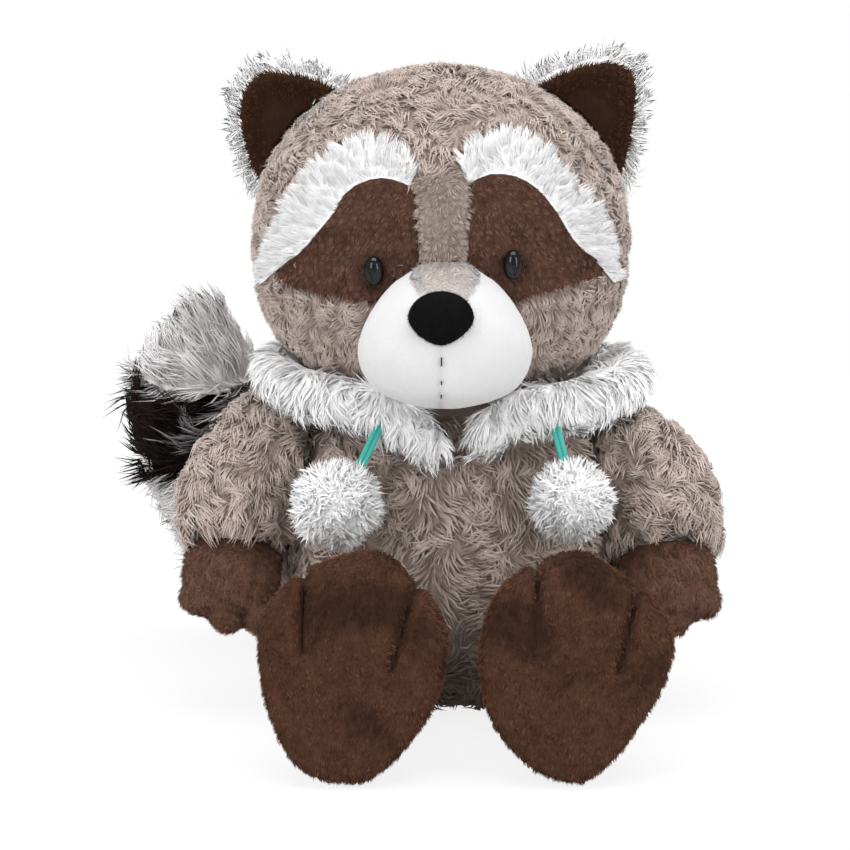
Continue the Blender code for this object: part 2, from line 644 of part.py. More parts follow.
def build_foot(side, sign, outline, darts):
    """One foot: a puffed upper, and a sole in front of it with two stitched toe darts.

    Returns the cutter of the foot's own shape.
    """
    lean = math.radians(FOOT_LEAN)
    heel = Vector((FOOT_SIDE_SHIFT + sign * FOOT_SPACING / 2, -FOOT_REACH + SOLE_THICKNESS, 0))
    up = Vector((0, math.sin(lean), math.cos(lean)))
    points = [heel + Vector((FOOT_WIDTH / 2 * across, 0, 0)) + up * (FOOT_LENGTH * rise)
              for across, rise in smooth_rows(outline, 28, closed=True)]
    lowest = min(point.z for point in points)
    points = [point - Vector((0, 0, lowest)) for point in points]
    ahead = Vector((0, -1, 0))
    foot = pillow("foot_" + side, points, ahead,
                  [(-FOOT_THICKNESS * share, size) for share, size in FOOT_PUFF],
                  fabric("foot_pile_" + side, BROWN))
    sole = pillow("sole_" + side, points, ahead,
                  [(SEAM + (SOLE_THICKNESS - SEAM) * share, size) for share, size in SOLE_PUFF],
                  fabric("sole_pile_" + side, BROWN))
    for number, (across, rise, turn) in enumerate(darts):
        angle = math.radians(turn)
        top = heel + Vector((FOOT_WIDTH / 2 * across, -SOLE_THICKNESS, 0)) + up * (FOOT_LENGTH * rise)
        down = Vector((-math.sin(angle), 0, 0)) - up * math.cos(angle)
        width = down.cross(ahead).normalized() * (DART_WIDTH / 2)
        deep = ahead * DART_DEPTH
        start = top - down * DART_OVERRUN
        end = top + down * DART_LENGTH
        corners = [start + deep, end + deep, end - down * DART_TAPER - deep, start - deep]
        dart = loft(f"dart_{number}_{side}", [[point + width for point in corners],
                                              [point - width for point in corners]])
        boolean(sole, guide(dart))
    return foot, grown(foot)


def build_leg(side, sign, torso_cutter, foot_cutter):
    """One leg: a stuffed tube that runs forward from the torso into the back of the foot."""
    across = FOOT_SIDE_SHIFT + sign * FOOT_SPACING / 2
    start = Vector((across * HIP_SHARE, -TORSO_DEPTH / 2 + LEG_SINK, LEG_RADIUS + LEG_CLEARANCE))
    end = Vector((across, -FOOT_REACH + SOLE_THICKNESS + FOOT_THICKNESS / 2, LEG_RADIUS + LEG_RISE))
    middle = (start + end) / 2
    leg = swept("leg_" + side, [start, middle, end], [LEG_RADIUS, LEG_RADIUS, LEG_RADIUS * ANKLE_SHARE],
                fabric("leg_fur_" + side, TAUPE), rows=5, sides=18, reference=(0, 0, 1))
    cut(leg, [torso_cutter, foot_cutter])


# Tail route from the torso to the tip, as shares of its reach out, back and up
TAIL_BENDS = ((0.0, 0.0, 0.0), (0.36, 0.66, 0.05), (0.74, 1.0, 0.20), (0.98, 0.86, 0.45),
              (1.05, 0.62, 0.72), (1.0, 0.40, 1.0))
TAIL_GIRTHS = (0.0, 0.62, 0.93, 1.0, 0.98)
TAIL_RINGS = (("tail_ring_1", 0.0, 0.26, TAIL_GREY), ("tail_ring_2", 0.26, 0.44, TAIL_BLACK),
              ("tail_ring_3", 0.44, 0.63, TAIL_GREY), ("tail_ring_4", 0.63, 0.80, TAIL_BLACK),
              ("tail_tip", 0.80, 1.0, TAIL_GREY))


def build_tail(torso_cutter):
    """The ringed tail: stuffed rings of long pile, seam to seam, curving up behind the right arm."""
    root = Vector((TAIL_SIDE_SHIFT, TORSO_DEPTH / 2 - TAIL_SINK, TAIL_ROOT_HEIGHT))
    route = [root + Vector((-TAIL_OUT * out, TAIL_BACK * back, TAIL_RISE * up))
             for out, back, up in TAIL_BENDS]
    radii = [TAIL_ROOT_RADIUS + (TAIL_RADIUS - TAIL_ROOT_RADIUS) * girth for girth in TAIL_GIRTHS]
    radii.append(TAIL_TIP_RADIUS)
    length = sum((b - a).length for a, b in zip(route, route[1:]))
    gap = TAIL_SEAM / length
    for name, start, end, colour in TAIL_RINGS:
        ring = swept(name, route, radii, fabric(name + "_pile", colour),
                     rows=8 if end == 1.0 else 4, sides=18, start=start + gap, end=end)
        if start == 0.0:
            cut(ring, [torso_cutter])


# Collar route: degrees round the neck from the chest, height over the neck seam, and the
# band's shares of its width and of its thickness there
COLLAR_ROUTE = ((-4, -0.017, 0.60, 0.80), (-9.6, -0.011, 0.85, 1.0), (-16, -0.006, 0.95, 1.0),
                (-30, 0.0, 1.0, 1.1), (-49, 0.002, 1.0, 1.35), (-90, 0.004, 1.05, 1.75),
                (-130, 0.003, 1.05, 2.1), (-180, 0.002, 1.05, 2.2), (-230, 0.002, 1.05, 2.1),
                (-270, 0.002, 1.05, 1.75), (-300, 0.001, 1.0, 1.35), (-322, -0.001, 1.0, 1.1),
                (-338, -0.002, 0.95, 1.0), (-348, -0.008, 0.85, 1.0), (-353, -0.015, 0.60, 0.80))


def build_collar(cutters):
    """The fluffy collar band, round the neck from one tip of the V to the other."""
    half_span = TORSO_WIDTH / 2 - COLLAR_TUCK
    front = TORSO_DEPTH / 2 - COLLAR_TUCK
    back = TORSO_DEPTH / 2 - COLLAR_BACK_TUCK
    middles, widths, depths = [], [], []
    for angle, height, width, depth in smooth_rows(COLLAR_ROUTE, 28):
        turn = math.radians(angle)
        reach = front if math.cos(turn) > 0 else back
        middles.append(Vector((half_span * math.sin(turn), -reach * math.cos(turn),
                               TORSO_HEIGHT + height)))
        widths.append(COLLAR_WIDTH / 2 * width)
        depths.append(COLLAR_THICKNESS / 2 * depth)
    rings = []
    for index, (middle, width, depth) in enumerate(zip(middles, widths, depths)):
        ahead = middles[min(index + 1, len(middles) - 1)] - middles[max(index - 1, 0)]
        outward = Vector((middle.x, middle.y, 0)).normalized()
        along = ahead.cross(outward).normalized()
        across = along.cross(ahead).normalized()
        rings.append(oval(middle, across, along, depth, width, 10))
    collar = loft("collar", rings, fabric("collar_fluff", WHITE))
    cut(collar, cutters)
    return collar


# Drawstring routes, from inside the collar's channel down to the pompom's heart
CORD_RIGHT_ROUTE = ((-0.0225, -0.0490, 0.1100), (-0.0245, -0.0500, 0.1065), (-0.0270, -0.0520, 0.1020),
                    (-0.0295, -0.0550, 0.0970), (-0.0325, -0.0575, 0.0915), (-0.0375, -0.0590, 0.0835))
CORD_LEFT_ROUTE = ((0.0345, -0.0420, 0.1125), (0.0348, -0.0435, 0.1080), (0.0355, -0.0465, 0.1035),
                   (0.0368, -0.0510, 0.0985), (0.0382, -0.0545, 0.0930), (0.0398, -0.0570, 0.0850))


def build_drawstring(side, route, radius, collar, blockers):
    """One drawstring, out of its channel in the collar, with its pompom on the end."""
    cord("drawstring_" + side, route, fabric("drawstring_cord_" + side, TURQUOISE, 0.6))
    points = [Vector(point) for point in route]
    first = (points[0] - points[1]).normalized() * SEAM
    last = (points[-1] - points[-2]).normalized()
    path = [points[0] + first, *points[1:-1], points[-1] + last * SEAM]
    radii = [CORD_DIAMETER / 2 + BORE_MARGIN] * len(path)
    bore = guide(swept("cord_bore_" + side, path, radii, sides=12))
    boolean(collar, bore)
    pompom = ball("pompom_" + side, points[-1] + last * POMPOM_DROP, radius,
                  fabric("pompom_fluff_" + side, WHITE))
    cut(pompom, [bore, *blockers])


def main():
    """Build every piece, each seated on the piece that carries it."""
    clear_scene()
    torso = build_torso()
    torso_cutter = grown(torso)
    head = build_head()
    head_cutter = grown(head)
    muzzle, muzzle_cutter = build_muzzle(head_cutter)
    bridge_cutter = build_face(head, muzzle_cutter)
    build_muzzle_trim(muzzle, muzzle_cutter, [head_cutter, bridge_cutter])
    build_ear("right", -1, EAR_RIGHT_ANGLE, EAR_RIGHT_OUTLINE, head_cutter)
    build_ear("left", 1, EAR_LEFT_ANGLE, EAR_LEFT_OUTLINE, head_cutter)
    sleeve_cutters = [
        build_arm("right", -1, ARM_RIGHT_DROP, ARM_RIGHT_OUT, ARM_RIGHT_DOWN, torso_cutter),
        build_arm("left", 1, ARM_LEFT_DROP, ARM_LEFT_OUT, ARM_LEFT_DOWN, torso_cutter)]
    for side, sign, outline, darts in (("right", -1, FOOT_RIGHT_OUTLINE, RIGHT_DARTS),
                                       ("left", 1, FOOT_LEFT_OUTLINE, LEFT_DARTS)):
        foot, foot_cutter = build_foot(side, sign, outline, darts)
        build_leg(side, sign, torso_cutter, foot_cutter)
    build_tail(torso_cutter)
    collar = build_collar([torso_cutter, head_cutter, muzzle_cutter, *sleeve_cutters])
    build_drawstring("right", CORD_RIGHT_ROUTE, POMPOM_RIGHT_RADIUS, collar,
                     [torso_cutter, sleeve_cutters[0]])
    build_drawstring("left", CORD_LEFT_ROUTE, POMPOM_LEFT_RADIUS, collar,
                     [torso_cutter, sleeve_cutters[1]])


main()
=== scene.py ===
"""Looks of a seated plush raccoon: grown piles, sewn skins, beads, cords and a plain studio.

Everything is in metres. +Z is up, the toy looks along -Y, and right and left are the toy's own.
"""

import sys

import logging
import math
from dataclasses import dataclass, field, replace
from enum import Enum
from typing import Callable, Sequence

import bmesh
import bpy
import numpy as np
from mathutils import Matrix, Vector
from mathutils.bvhtree import BVHTree
from mathutils.kdtree import KDTree


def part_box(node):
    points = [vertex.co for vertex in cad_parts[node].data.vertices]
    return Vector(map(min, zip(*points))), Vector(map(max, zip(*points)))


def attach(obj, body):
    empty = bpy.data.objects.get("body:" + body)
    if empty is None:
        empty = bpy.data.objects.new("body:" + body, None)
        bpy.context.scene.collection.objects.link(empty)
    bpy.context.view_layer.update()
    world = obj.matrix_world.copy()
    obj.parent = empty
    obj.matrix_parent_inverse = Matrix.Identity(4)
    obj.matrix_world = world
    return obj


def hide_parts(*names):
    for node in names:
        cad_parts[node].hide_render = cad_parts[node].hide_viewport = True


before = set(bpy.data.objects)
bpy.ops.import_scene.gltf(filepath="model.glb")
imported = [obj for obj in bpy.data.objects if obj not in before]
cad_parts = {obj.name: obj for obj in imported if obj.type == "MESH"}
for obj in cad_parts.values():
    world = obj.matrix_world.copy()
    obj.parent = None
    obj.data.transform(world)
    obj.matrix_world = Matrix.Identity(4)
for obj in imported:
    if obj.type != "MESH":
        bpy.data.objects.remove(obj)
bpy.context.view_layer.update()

LOG = logging.getLogger("raccoon")
Array = np.ndarray
Field = Callable[[Array, Array], Array]
Colour = tuple[float, float, float]
Point = tuple[float, float, float]

MM = 0.001
BODY = "root"
UP = np.array((0.0, 0.0, 1.0))
AHEAD = np.array((0.0, -1.0, 0.0))
FACE_PANELS = ("eye_patch_right", "eye_patch_left", "nose_bridge")
# Axes of the grid that roots are thinned on, turned so that no row of fibres lines up with the toy.
TURNED = np.linalg.qr(np.array(((1.0, 0.62, -0.41), (-0.55, 1.0, 0.73), (0.37, -0.68, 1.0))))[0]


class Side(Enum):
    """The toy's own right and left."""

    RIGHT = "right"
    LEFT = "left"

    @property
    def sign(self) -> int:
        """Which way this side lies along X."""
        return -1 if self is Side.RIGHT else 1


class Wire:
    """A number or colour in a node tree, on which Python's operators add nodes."""

    def __init__(self, graph: "Tree", socket: bpy.types.NodeSocket, colour: bool = False) -> None:
        """Wrap a socket.

        Args:
            graph: The node tree that the socket is in.
            socket: The output to wrap.
            colour: Whether it carries a colour or vector and not one number.
        """
        self.graph = graph
        self.socket = socket
        self.colour = colour

    def _join(self, operation: str, first: "Wire | float", second: "Wire | float") -> "Wire":
        """One Math node, or a Vector Math node where either side is a colour.

        Args:
            operation: What the node does.
            first: Left side.
            second: Right side.

        Returns:
            The result.
        """
        if any(isinstance(side, Wire) and side.colour for side in (first, second)):
            return self._join_colours(operation, first, second)
        made = self.graph.node("ShaderNodeMath", {"operation": operation}, {0: first, 1: second})
        return Wire(self.graph, made.outputs[0])

    def _join_colours(self, operation: str, first: "Wire | float", second: "Wire | float") -> "Wire":
        """A Vector Math node between two colours, or between a colour and a number.

        Args:
            operation: What the node does.
            first: Left side.
            second: Right side.

        Returns:
            The resulting colour.
        """
        inputs = {0: first, 1: second}
        if operation == "MULTIPLY":
            for colour, number in ((first, second), (second, first)):
                if not (isinstance(number, Wire) and number.colour):
                    operation, inputs = "SCALE", {0: colour, "Scale": number}
        made = self.graph.node("ShaderNodeVectorMath", {"operation": operation}, inputs)
        return Wire(self.graph, made.outputs[0], True)

    def __add__(self, other: "Wire | float") -> "Wire":
        """Sum."""
        return self._join("ADD", self, other)

    def __radd__(self, other: "Wire | float") -> "Wire":
        """Sum, reflected."""
        return self._join("ADD", other, self)

    def __sub__(self, other: "Wire | float") -> "Wire":
        """Difference."""
        return self._join("SUBTRACT", self, other)

    def __rsub__(self, other: "Wire | float") -> "Wire":
        """Difference, reflected."""
        return self._join("SUBTRACT", other, self)

    def __mul__(self, other: "Wire | float") -> "Wire":
        """Product."""
        return self._join("MULTIPLY", self, other)

    def __rmul__(self, other: "Wire | float") -> "Wire":
        """Product, reflected."""
        return self._join("MULTIPLY", other, self)

    def ramp(self, low: float, high: float, start: float = 0.0, end: float = 1.0) -> "Wire":
        """Map a stretch of values smoothly to another.

        Args:
            low: Value that becomes start.
            high: Value that becomes end.
            start: Result at and below low.
            end: Result at and above high.

        Returns:
            The mapped value.
        """
        made = self.graph.node(
            "ShaderNodeMapRange", {"interpolation_type": "SMOOTHSTEP"},
            {"Value": self, "From Min": low, "From Max": high, "To Min": start, "To Max": end})
        return Wire(self.graph, made.outputs[0])


class Tree:
    """The nodes of a material or of the world."""

    def __init__(self, tree: bpy.types.NodeTree) -> None:
        """Keep a node tree at hand."""
        self.tree = tree
        self.nodes = tree.nodes

    def node(self, kind: str, settings: dict | None = None, inputs: dict | None = None) -> bpy.types.Node:
        """Add any node.

        Args:
            kind: The node's type.
            settings: Its properties, which are set first.
            inputs: Values or links of its sockets, by name or number.

        Returns:
            The new node.
        """
        made = self.nodes.new(kind)
        for key, value in (settings or {}).items():
            setattr(made, key, value)
        for key, value in (inputs or {}).items():
            self.feed(made.inputs[key], value)
        return made

    def feed(self, socket: bpy.types.NodeSocket, value: "Wire | float | Sequence[float]") -> None:
        """Link a wire to a socket, or set the socket's own value.

        Args:
            socket: An input.
            value: A wire, a number, or the parts of a colour.
        """
        if isinstance(value, Wire):
            self.tree.links.new(value.socket, socket)
        elif isinstance(value, (int, float)) and socket.type in {"VECTOR", "RGBA"}:
            socket.default_value = (value,) * len(socket.default_value)
        elif isinstance(value, (int, float)):
            socket.default_value = value
        else:
            size = len(socket.default_value)
            socket.default_value = (*value, 1.0)[:size]


class Graph(Tree):
    """The node tree of one material, built around one Principled shader."""

    def __init__(self, name: str, **constants: float | tuple) -> None:
        """Start a material.

        Args:
            name: The material's name.
            **constants: Values set directly on the shader's sockets, with _ for spaces.
        """
        self.material = bpy.data.materials.new(name)
        self.material.use_nodes = True
        super().__init__(self.material.node_tree)
        self.shader = self.nodes["Principled BSDF"]
        for key, value in constants.items():
            socket = key.replace("_", " ").title().replace("Ior", "IOR")
            self.shader.inputs[socket].default_value = value

    def attribute(self, name: str, colour: bool = False) -> Wire:
        """A value that the mesh carries at its points."""
        made = self.node("ShaderNodeAttribute", {"attribute_name": name})
        return Wire(self, made.outputs["Vector" if colour else "Fac"], colour)

    def place(self) -> Wire:
        """The point's own place on the toy."""
        return Wire(self, self.node("ShaderNodeTexCoord").outputs["Object"], True)

    def noise(self, where: Wire, scale: float, detail: float = 2.0, rough: float = 0.5) -> Wire:
        """Smooth noise from 0 to 1.

        Args:
            where: The coordinates it is read at.
            scale: Waves in each unit of them.
            detail: Finer layers added.
            rough: Share of each finer layer.

        Returns:
            The noise.
        """
        made = self.node("ShaderNodeTexNoise", {"noise_dimensions": "3D"},
                         {"Vector": where, "Scale": scale, "Detail": detail, "Roughness": rough})
        return Wire(self, made.outputs[0])

    def mix(self, factor: Wire | float, first: "Wire | Colour", second: "Wire | Colour") -> Wire:
        """A colour between two others."""
        made = self.node("ShaderNodeMix", {"data_type": "RGBA"}, {0: factor, 6: first, 7: second})
        return Wire(self, made.outputs[2], True)

    def surface(self, colour: Wire, roughness: Wire | float, bump: Wire | None = None,
                strength: float = 0.3, distance: float = 0.0003) -> bpy.types.Material:
        """Feed the shader and return the finished material.

        Args:
            colour: Base colour.
            roughness: Roughness.
            bump: Height that bends the normal.
            strength: How strongly it does.
            distance: What a height of 1 measures.

        Returns:
            The material.
        """
        self.feed(self.shader.inputs["Base Color"], colour)
        self.feed(self.shader.inputs["Roughness"], roughness)
        if bump is not None:
            made = self.node("ShaderNodeBump", None,
                             {"Strength": strength, "Distance": distance, "Height": bump})
            self.feed(self.shader.inputs["Normal"], Wire(self, made.outputs[0], True))
        return self.material


@dataclass(frozen=True)
class PileFinish:
    """A dyed pile: darker at its roots as painted shade, streaked along its fibres and uneven from tuft to
    tuft.
    """

    name: str
    slot: str
    # Colour at the roots, darker than the tips: painted shade between the fibres.
    root: Colour
    tip: Colour
    other: Colour
    # Colour that the mark value mixes in: painted shade on most pieces, a real colour on some.
    mark: Colour
    other_share: float = 0.35
    patch_size: float = 0.012
    root_reach: float = 0.75
    streak: float = 0.45
    roughness: float = 0.85
    sheen: float = 0.25
    gloss: float = 0.2
    relief: float = 0.0004

    def material(self) -> bpy.types.Material:
        """The finish as a material.

        Returns:
            A material that reads the along, tint, mark and fibre values of a grown piece.
        """
        graph = Graph(self.name, sheen_weight=self.sheen, sheen_roughness=0.5,
                      specular_ior_level=self.gloss)
        along = graph.attribute("along")
        tint = graph.attribute("tint")
        mark = graph.attribute("mark")
        fibre = graph.attribute("fibre", True)
        patches = graph.noise(graph.place(), 1 / self.patch_size, 3.0)
        level = 1 - self.other_share
        share = (tint * 0.6 + patches * 0.8 - 0.2).ramp(level - 0.35, level + 0.35)
        dyed = graph.mix(share, self.tip, self.other)
        # The mark colour is painted shade on most pieces, and a real colour on the muzzle top and the
        # tail.
        dyed = graph.mix(mark, dyed, self.mark)
        # Towards the root the colour darkens to the root colour: painted shade between the fibres.
        shaded = graph.mix(along.ramp(0.0, self.root_reach), self.root, dyed)
        streaks = graph.noise(fibre, 4.5, 2.0)
        colour = shaded * (streaks * self.streak + (1.0 - self.streak * 0.5)) * (tint * 0.24 + 0.88)
        return graph.surface(colour, self.roughness + streaks * 0.1 - 0.05, streaks, 0.5, self.relief)


@dataclass(frozen=True)
class PlushFinish:
    """A short shorn plush or velvet with a fine grain."""

    name: str
    slot: str
    colour: Colour
    shade: Colour
    grain_size: float = 0.0005
    bump: float = 0.35
    roughness: float = 0.9
    sheen: float = 0.3
    gloss: float = 0.2

    def material(self) -> bpy.types.Material:
        """The finish as a material.

        Returns:
            A material that reads the mark value of the piece for the painted shade of its creases.
        """
        graph = Graph(self.name, sheen_weight=self.sheen, sheen_roughness=0.4,
                      specular_ior_level=self.gloss)
        place = graph.place()
        grain = graph.noise(place, 1 / self.grain_size, 3.0, 0.6)
        broad = graph.noise(place, 90.0, 2.0)
        share = (grain * 0.5 + broad * 0.3).ramp(0.25, 0.62, 0.35, 0.0)
        colour = graph.mix(share, self.colour, self.shade)
        colour = graph.mix(graph.attribute("mark"), colour, self.shade)
        return graph.surface(colour, self.roughness - grain * 0.1, grain, self.bump, 0.0003)


@dataclass(frozen=True)
class BeadFinish:
    """Polished black moulding with faint polishing marks."""

    name: str = "eye_bead"
    slot: str = "eye_bead"
    colour: Colour = (0.004, 0.004, 0.005)
    worn: Colour = (0.012, 0.012, 0.013)

    def material(self) -> bpy.types.Material:
        """The finish as a material.

        Returns:
            A material that reads nothing from the piece but each point's place.
        """
        graph = Graph(self.name, specular_ior_level=0.45)
        haze = graph.noise(graph.place(), 900.0, 3.0)
        colour = graph.mix(haze.ramp(0.45, 0.8), self.colour, self.worn)
        return graph.surface(colour, haze * 0.1 + 0.06, haze, 0.03, 0.0001)


@dataclass(frozen=True)
class CordFinish:
    """A dyed woven strand, with a diagonal twist whose valleys are darker: painted shade."""

    name: str
    slot: str
    colour: Colour
    valley_shade: Colour

    def material(self) -> bpy.types.Material:
        """The finish as a material.

        Returns:
            A material that reads the fibre value of a strand: its angle round and its way along.
        """
        graph = Graph(self.name, sheen_weight=0.2, specular_ior_level=0.3)
        wave = graph.node("ShaderNodeTexWave", {"wave_type": "BANDS", "bands_direction": "DIAGONAL"},
                          {"Vector": graph.attribute("fibre", True), "Scale": 1.6, "Distortion": 1.2,
                           "Detail": 2.0})
        rib = Wire(graph, wave.outputs[1])
        fuzz = graph.noise(graph.place(), 4000.0, 2.0)
        # The valleys of the twist take the darker colour: painted shade.
        colour = graph.mix((rib * 0.8 + fuzz * 0.3).ramp(0.1, 0.7), self.valley_shade, self.colour)
        return graph.surface(colour, fuzz * 0.1 + 0.6, rib * 0.7 + fuzz * 0.3, 0.5, 0.0002)


Finish = PileFinish | PlushFinish | BeadFinish | CordFinish

# TAUPE's mark colour is painted shade, low on the front of the torso between the feet.
TAUPE = PileFinish("taupe_curl", "taupe_fur", (0.25, 0.187, 0.157), (0.645, 0.53, 0.473),
                   (0.50, 0.395, 0.347), (0.13, 0.092, 0.075))
TAUPE_SHORT = PileFinish("taupe_short", "taupe_short_pile", (0.60, 0.51, 0.465), (0.80, 0.70, 0.65),
                         (0.70, 0.60, 0.55), (0.80, 0.79, 0.79), patch_size=0.006, root_reach=0.9)
TAUPE_NAP = PileFinish("taupe_nap", "taupe_short_pile", (0.12, 0.088, 0.073), (0.58, 0.47, 0.41),
                       (0.39, 0.31, 0.265), (0.15, 0.11, 0.09), patch_size=0.006)
# The brown piles' mark colours are painted shade: in ear dishes, darts, finger creases and round the eyes;
# on the feet they also darken the nap in patches.
BROWN = PileFinish("brown_minky", "brown_pile", (0.026, 0.011, 0.006), (0.180, 0.080, 0.046),
                   (0.092, 0.039, 0.023), (0.020, 0.0075, 0.0045), other_share=0.5,
                   patch_size=0.004, streak=0.8, roughness=0.75, sheen=0.0, gloss=0.08)
BROWN_FACE = PileFinish("brown_face_minky", "brown_pile", (0.030, 0.013, 0.009), (0.245, 0.126, 0.085),
                        (0.095, 0.045, 0.029), (0.026, 0.011, 0.008), other_share=0.45,
                        patch_size=0.005, streak=0.8, roughness=0.75, sheen=0.0, gloss=0.08)
WHITE = PileFinish("white_fluff", "white_fluff", (0.80, 0.80, 0.81), (0.89, 0.89, 0.895),
                   (0.85, 0.85, 0.855), (0.62, 0.61, 0.61), streak=0.10, root_reach=0.6,
                   sheen=0.5, relief=0.0002)
LONG_WHITE = PileFinish("white_long_fluff", "white_fluff", (0.94, 0.94, 0.943), (0.95, 0.95, 0.952),
                        (0.93, 0.93, 0.933), (0.62, 0.61, 0.61), streak=0.04, root_reach=0.5,
                        sheen=0.8, relief=0.0001)
POMPOM = PileFinish("pompom_fluff", "pompom_fluff", (0.95, 0.95, 0.953), (0.96, 0.96, 0.962),
                    (0.94, 0.94, 0.943), (0.62, 0.61, 0.61), streak=0.04, root_reach=0.8,
                    sheen=0.8, relief=0.0001)
GREY = PileFinish("grey_long", "grey_long_pile", (0.50, 0.47, 0.47), (0.92, 0.91, 0.92),
                  (0.58, 0.53, 0.525), (0.2, 0.15, 0.14), other_share=0.35, streak=0.25, sheen=0.4)
BLACK = PileFinish("black_long", "black_long_pile", (0.005, 0.003, 0.003), (0.020, 0.010, 0.009),
                   (0.034, 0.019, 0.017), (0.52, 0.50, 0.51), other_share=0.3, streak=0.5,
                   roughness=0.6, sheen=0.0, gloss=0.12)
MUZZLE_PLUSH = PlushFinish("white_plush", "white_plush", (0.60, 0.60, 0.603), (0.42, 0.415, 0.415))
NOSE_VELVET = PlushFinish("nose_velvet", "nose_velvet", (0.0035, 0.0035, 0.004), (0.012, 0.012, 0.013),
                          grain_size=0.0004, bump=0.9, sheen=0.0, gloss=0.04)
TURQUOISE = CordFinish("turquoise_cord", "turquoise_cord", (0.06, 0.50, 0.42), (0.02, 0.24, 0.22))
THREAD = CordFinish("mouth_thread", "mouth_thread", (0.035, 0.03, 0.03), (0.012, 0.01, 0.01))
WASHER = PlushFinish("washer_plastic", "washer_plastic", (0.60, 0.60, 0.60), (0.5, 0.5, 0.5), bump=0.05)


def unit(vectors: Array) -> Array:
    """Vectors of length 1."""
    return vectors / np.maximum(np.linalg.norm(vectors, axis=-1, keepdims=True), 1e-9)


def flatten(vectors: Array, normals: Array) -> Array:
    """The share of each vector that lies in its surface, as a unit vector."""
    return unit(vectors - normals * np.sum(vectors * normals, axis=1, keepdims=True))


def hump(values: Array, width: float) -> Array:
    """1 where a value is 0, falling off smoothly over a width on both sides."""
    return np.exp(-(values / width) ** 2)


def behind(normals: Array) -> Array:
    """How far each normal turns to the toy's back, from 0 to 1."""
    return np.clip((normals[:, 1] - 0.1) / 0.5, 0, 1)


def swirl(points: Array, size: float, seed: int) -> Array:
    """A smooth field of vectors that turn at random over a distance.

    Args:
        points: Where it is read.
        size: Distance over which it turns.
        seed: Which field.

    Returns:
        One vector a point, mostly shorter than 1.
    """
    rng = np.random.default_rng(seed)
    result = np.zeros_like(points)
    for _ in range(5):
        wave = unit(rng.normal(size=3)) * math.tau / size * rng.uniform(0.6, 1.4)
        result += np.sin(points @ wave[:, None] + rng.uniform(0, math.tau, 3)) * unit(rng.normal(size=3))
    return result * 0.8


def read_out(body: bmesh.types.BMesh) -> tuple[Array, Array]:
    """Read a mesh of triangles that is being edited, and free it.

    Args:
        body: The mesh.

    Returns:
        Its points, and the corner numbers of its triangles.
    """
    body.verts.index_update()
    points = np.array([vertex.co for vertex in body.verts])
    faces = np.array([[vertex.index for vertex in face.verts] for face in body.faces])
    body.free()
    return points, faces


def nearest(points: Array, places: Array) -> Array:
    """Find which of some points lies closest to each place.

    Args:
        points: The points to choose from.
        places: The places.

    Returns:
        Number of the closest point, one a place.
    """
    tree = KDTree(len(points))
    for number, point in enumerate(points):
        tree.insert(Vector(point), number)
    tree.balance()
    return np.array([tree.find(Vector(place))[1] for place in places])


def round_faces(rows: int, sides: int) -> list[tuple[int, int, int]]:
    """Triangles between rings of corners that follow one another.

    Args:
        rows: Number of rings.
        sides: Corners of each ring.

    Returns:
        Corner numbers of each triangle.
    """
    faces = []
    for row in range(rows - 1):
        for number in range(sides):
            a, b = row * sides + number, row * sides + (number + 1) % sides
            faces += [(a, b, b + sides), (a, b + sides, a + sides)]
    return faces


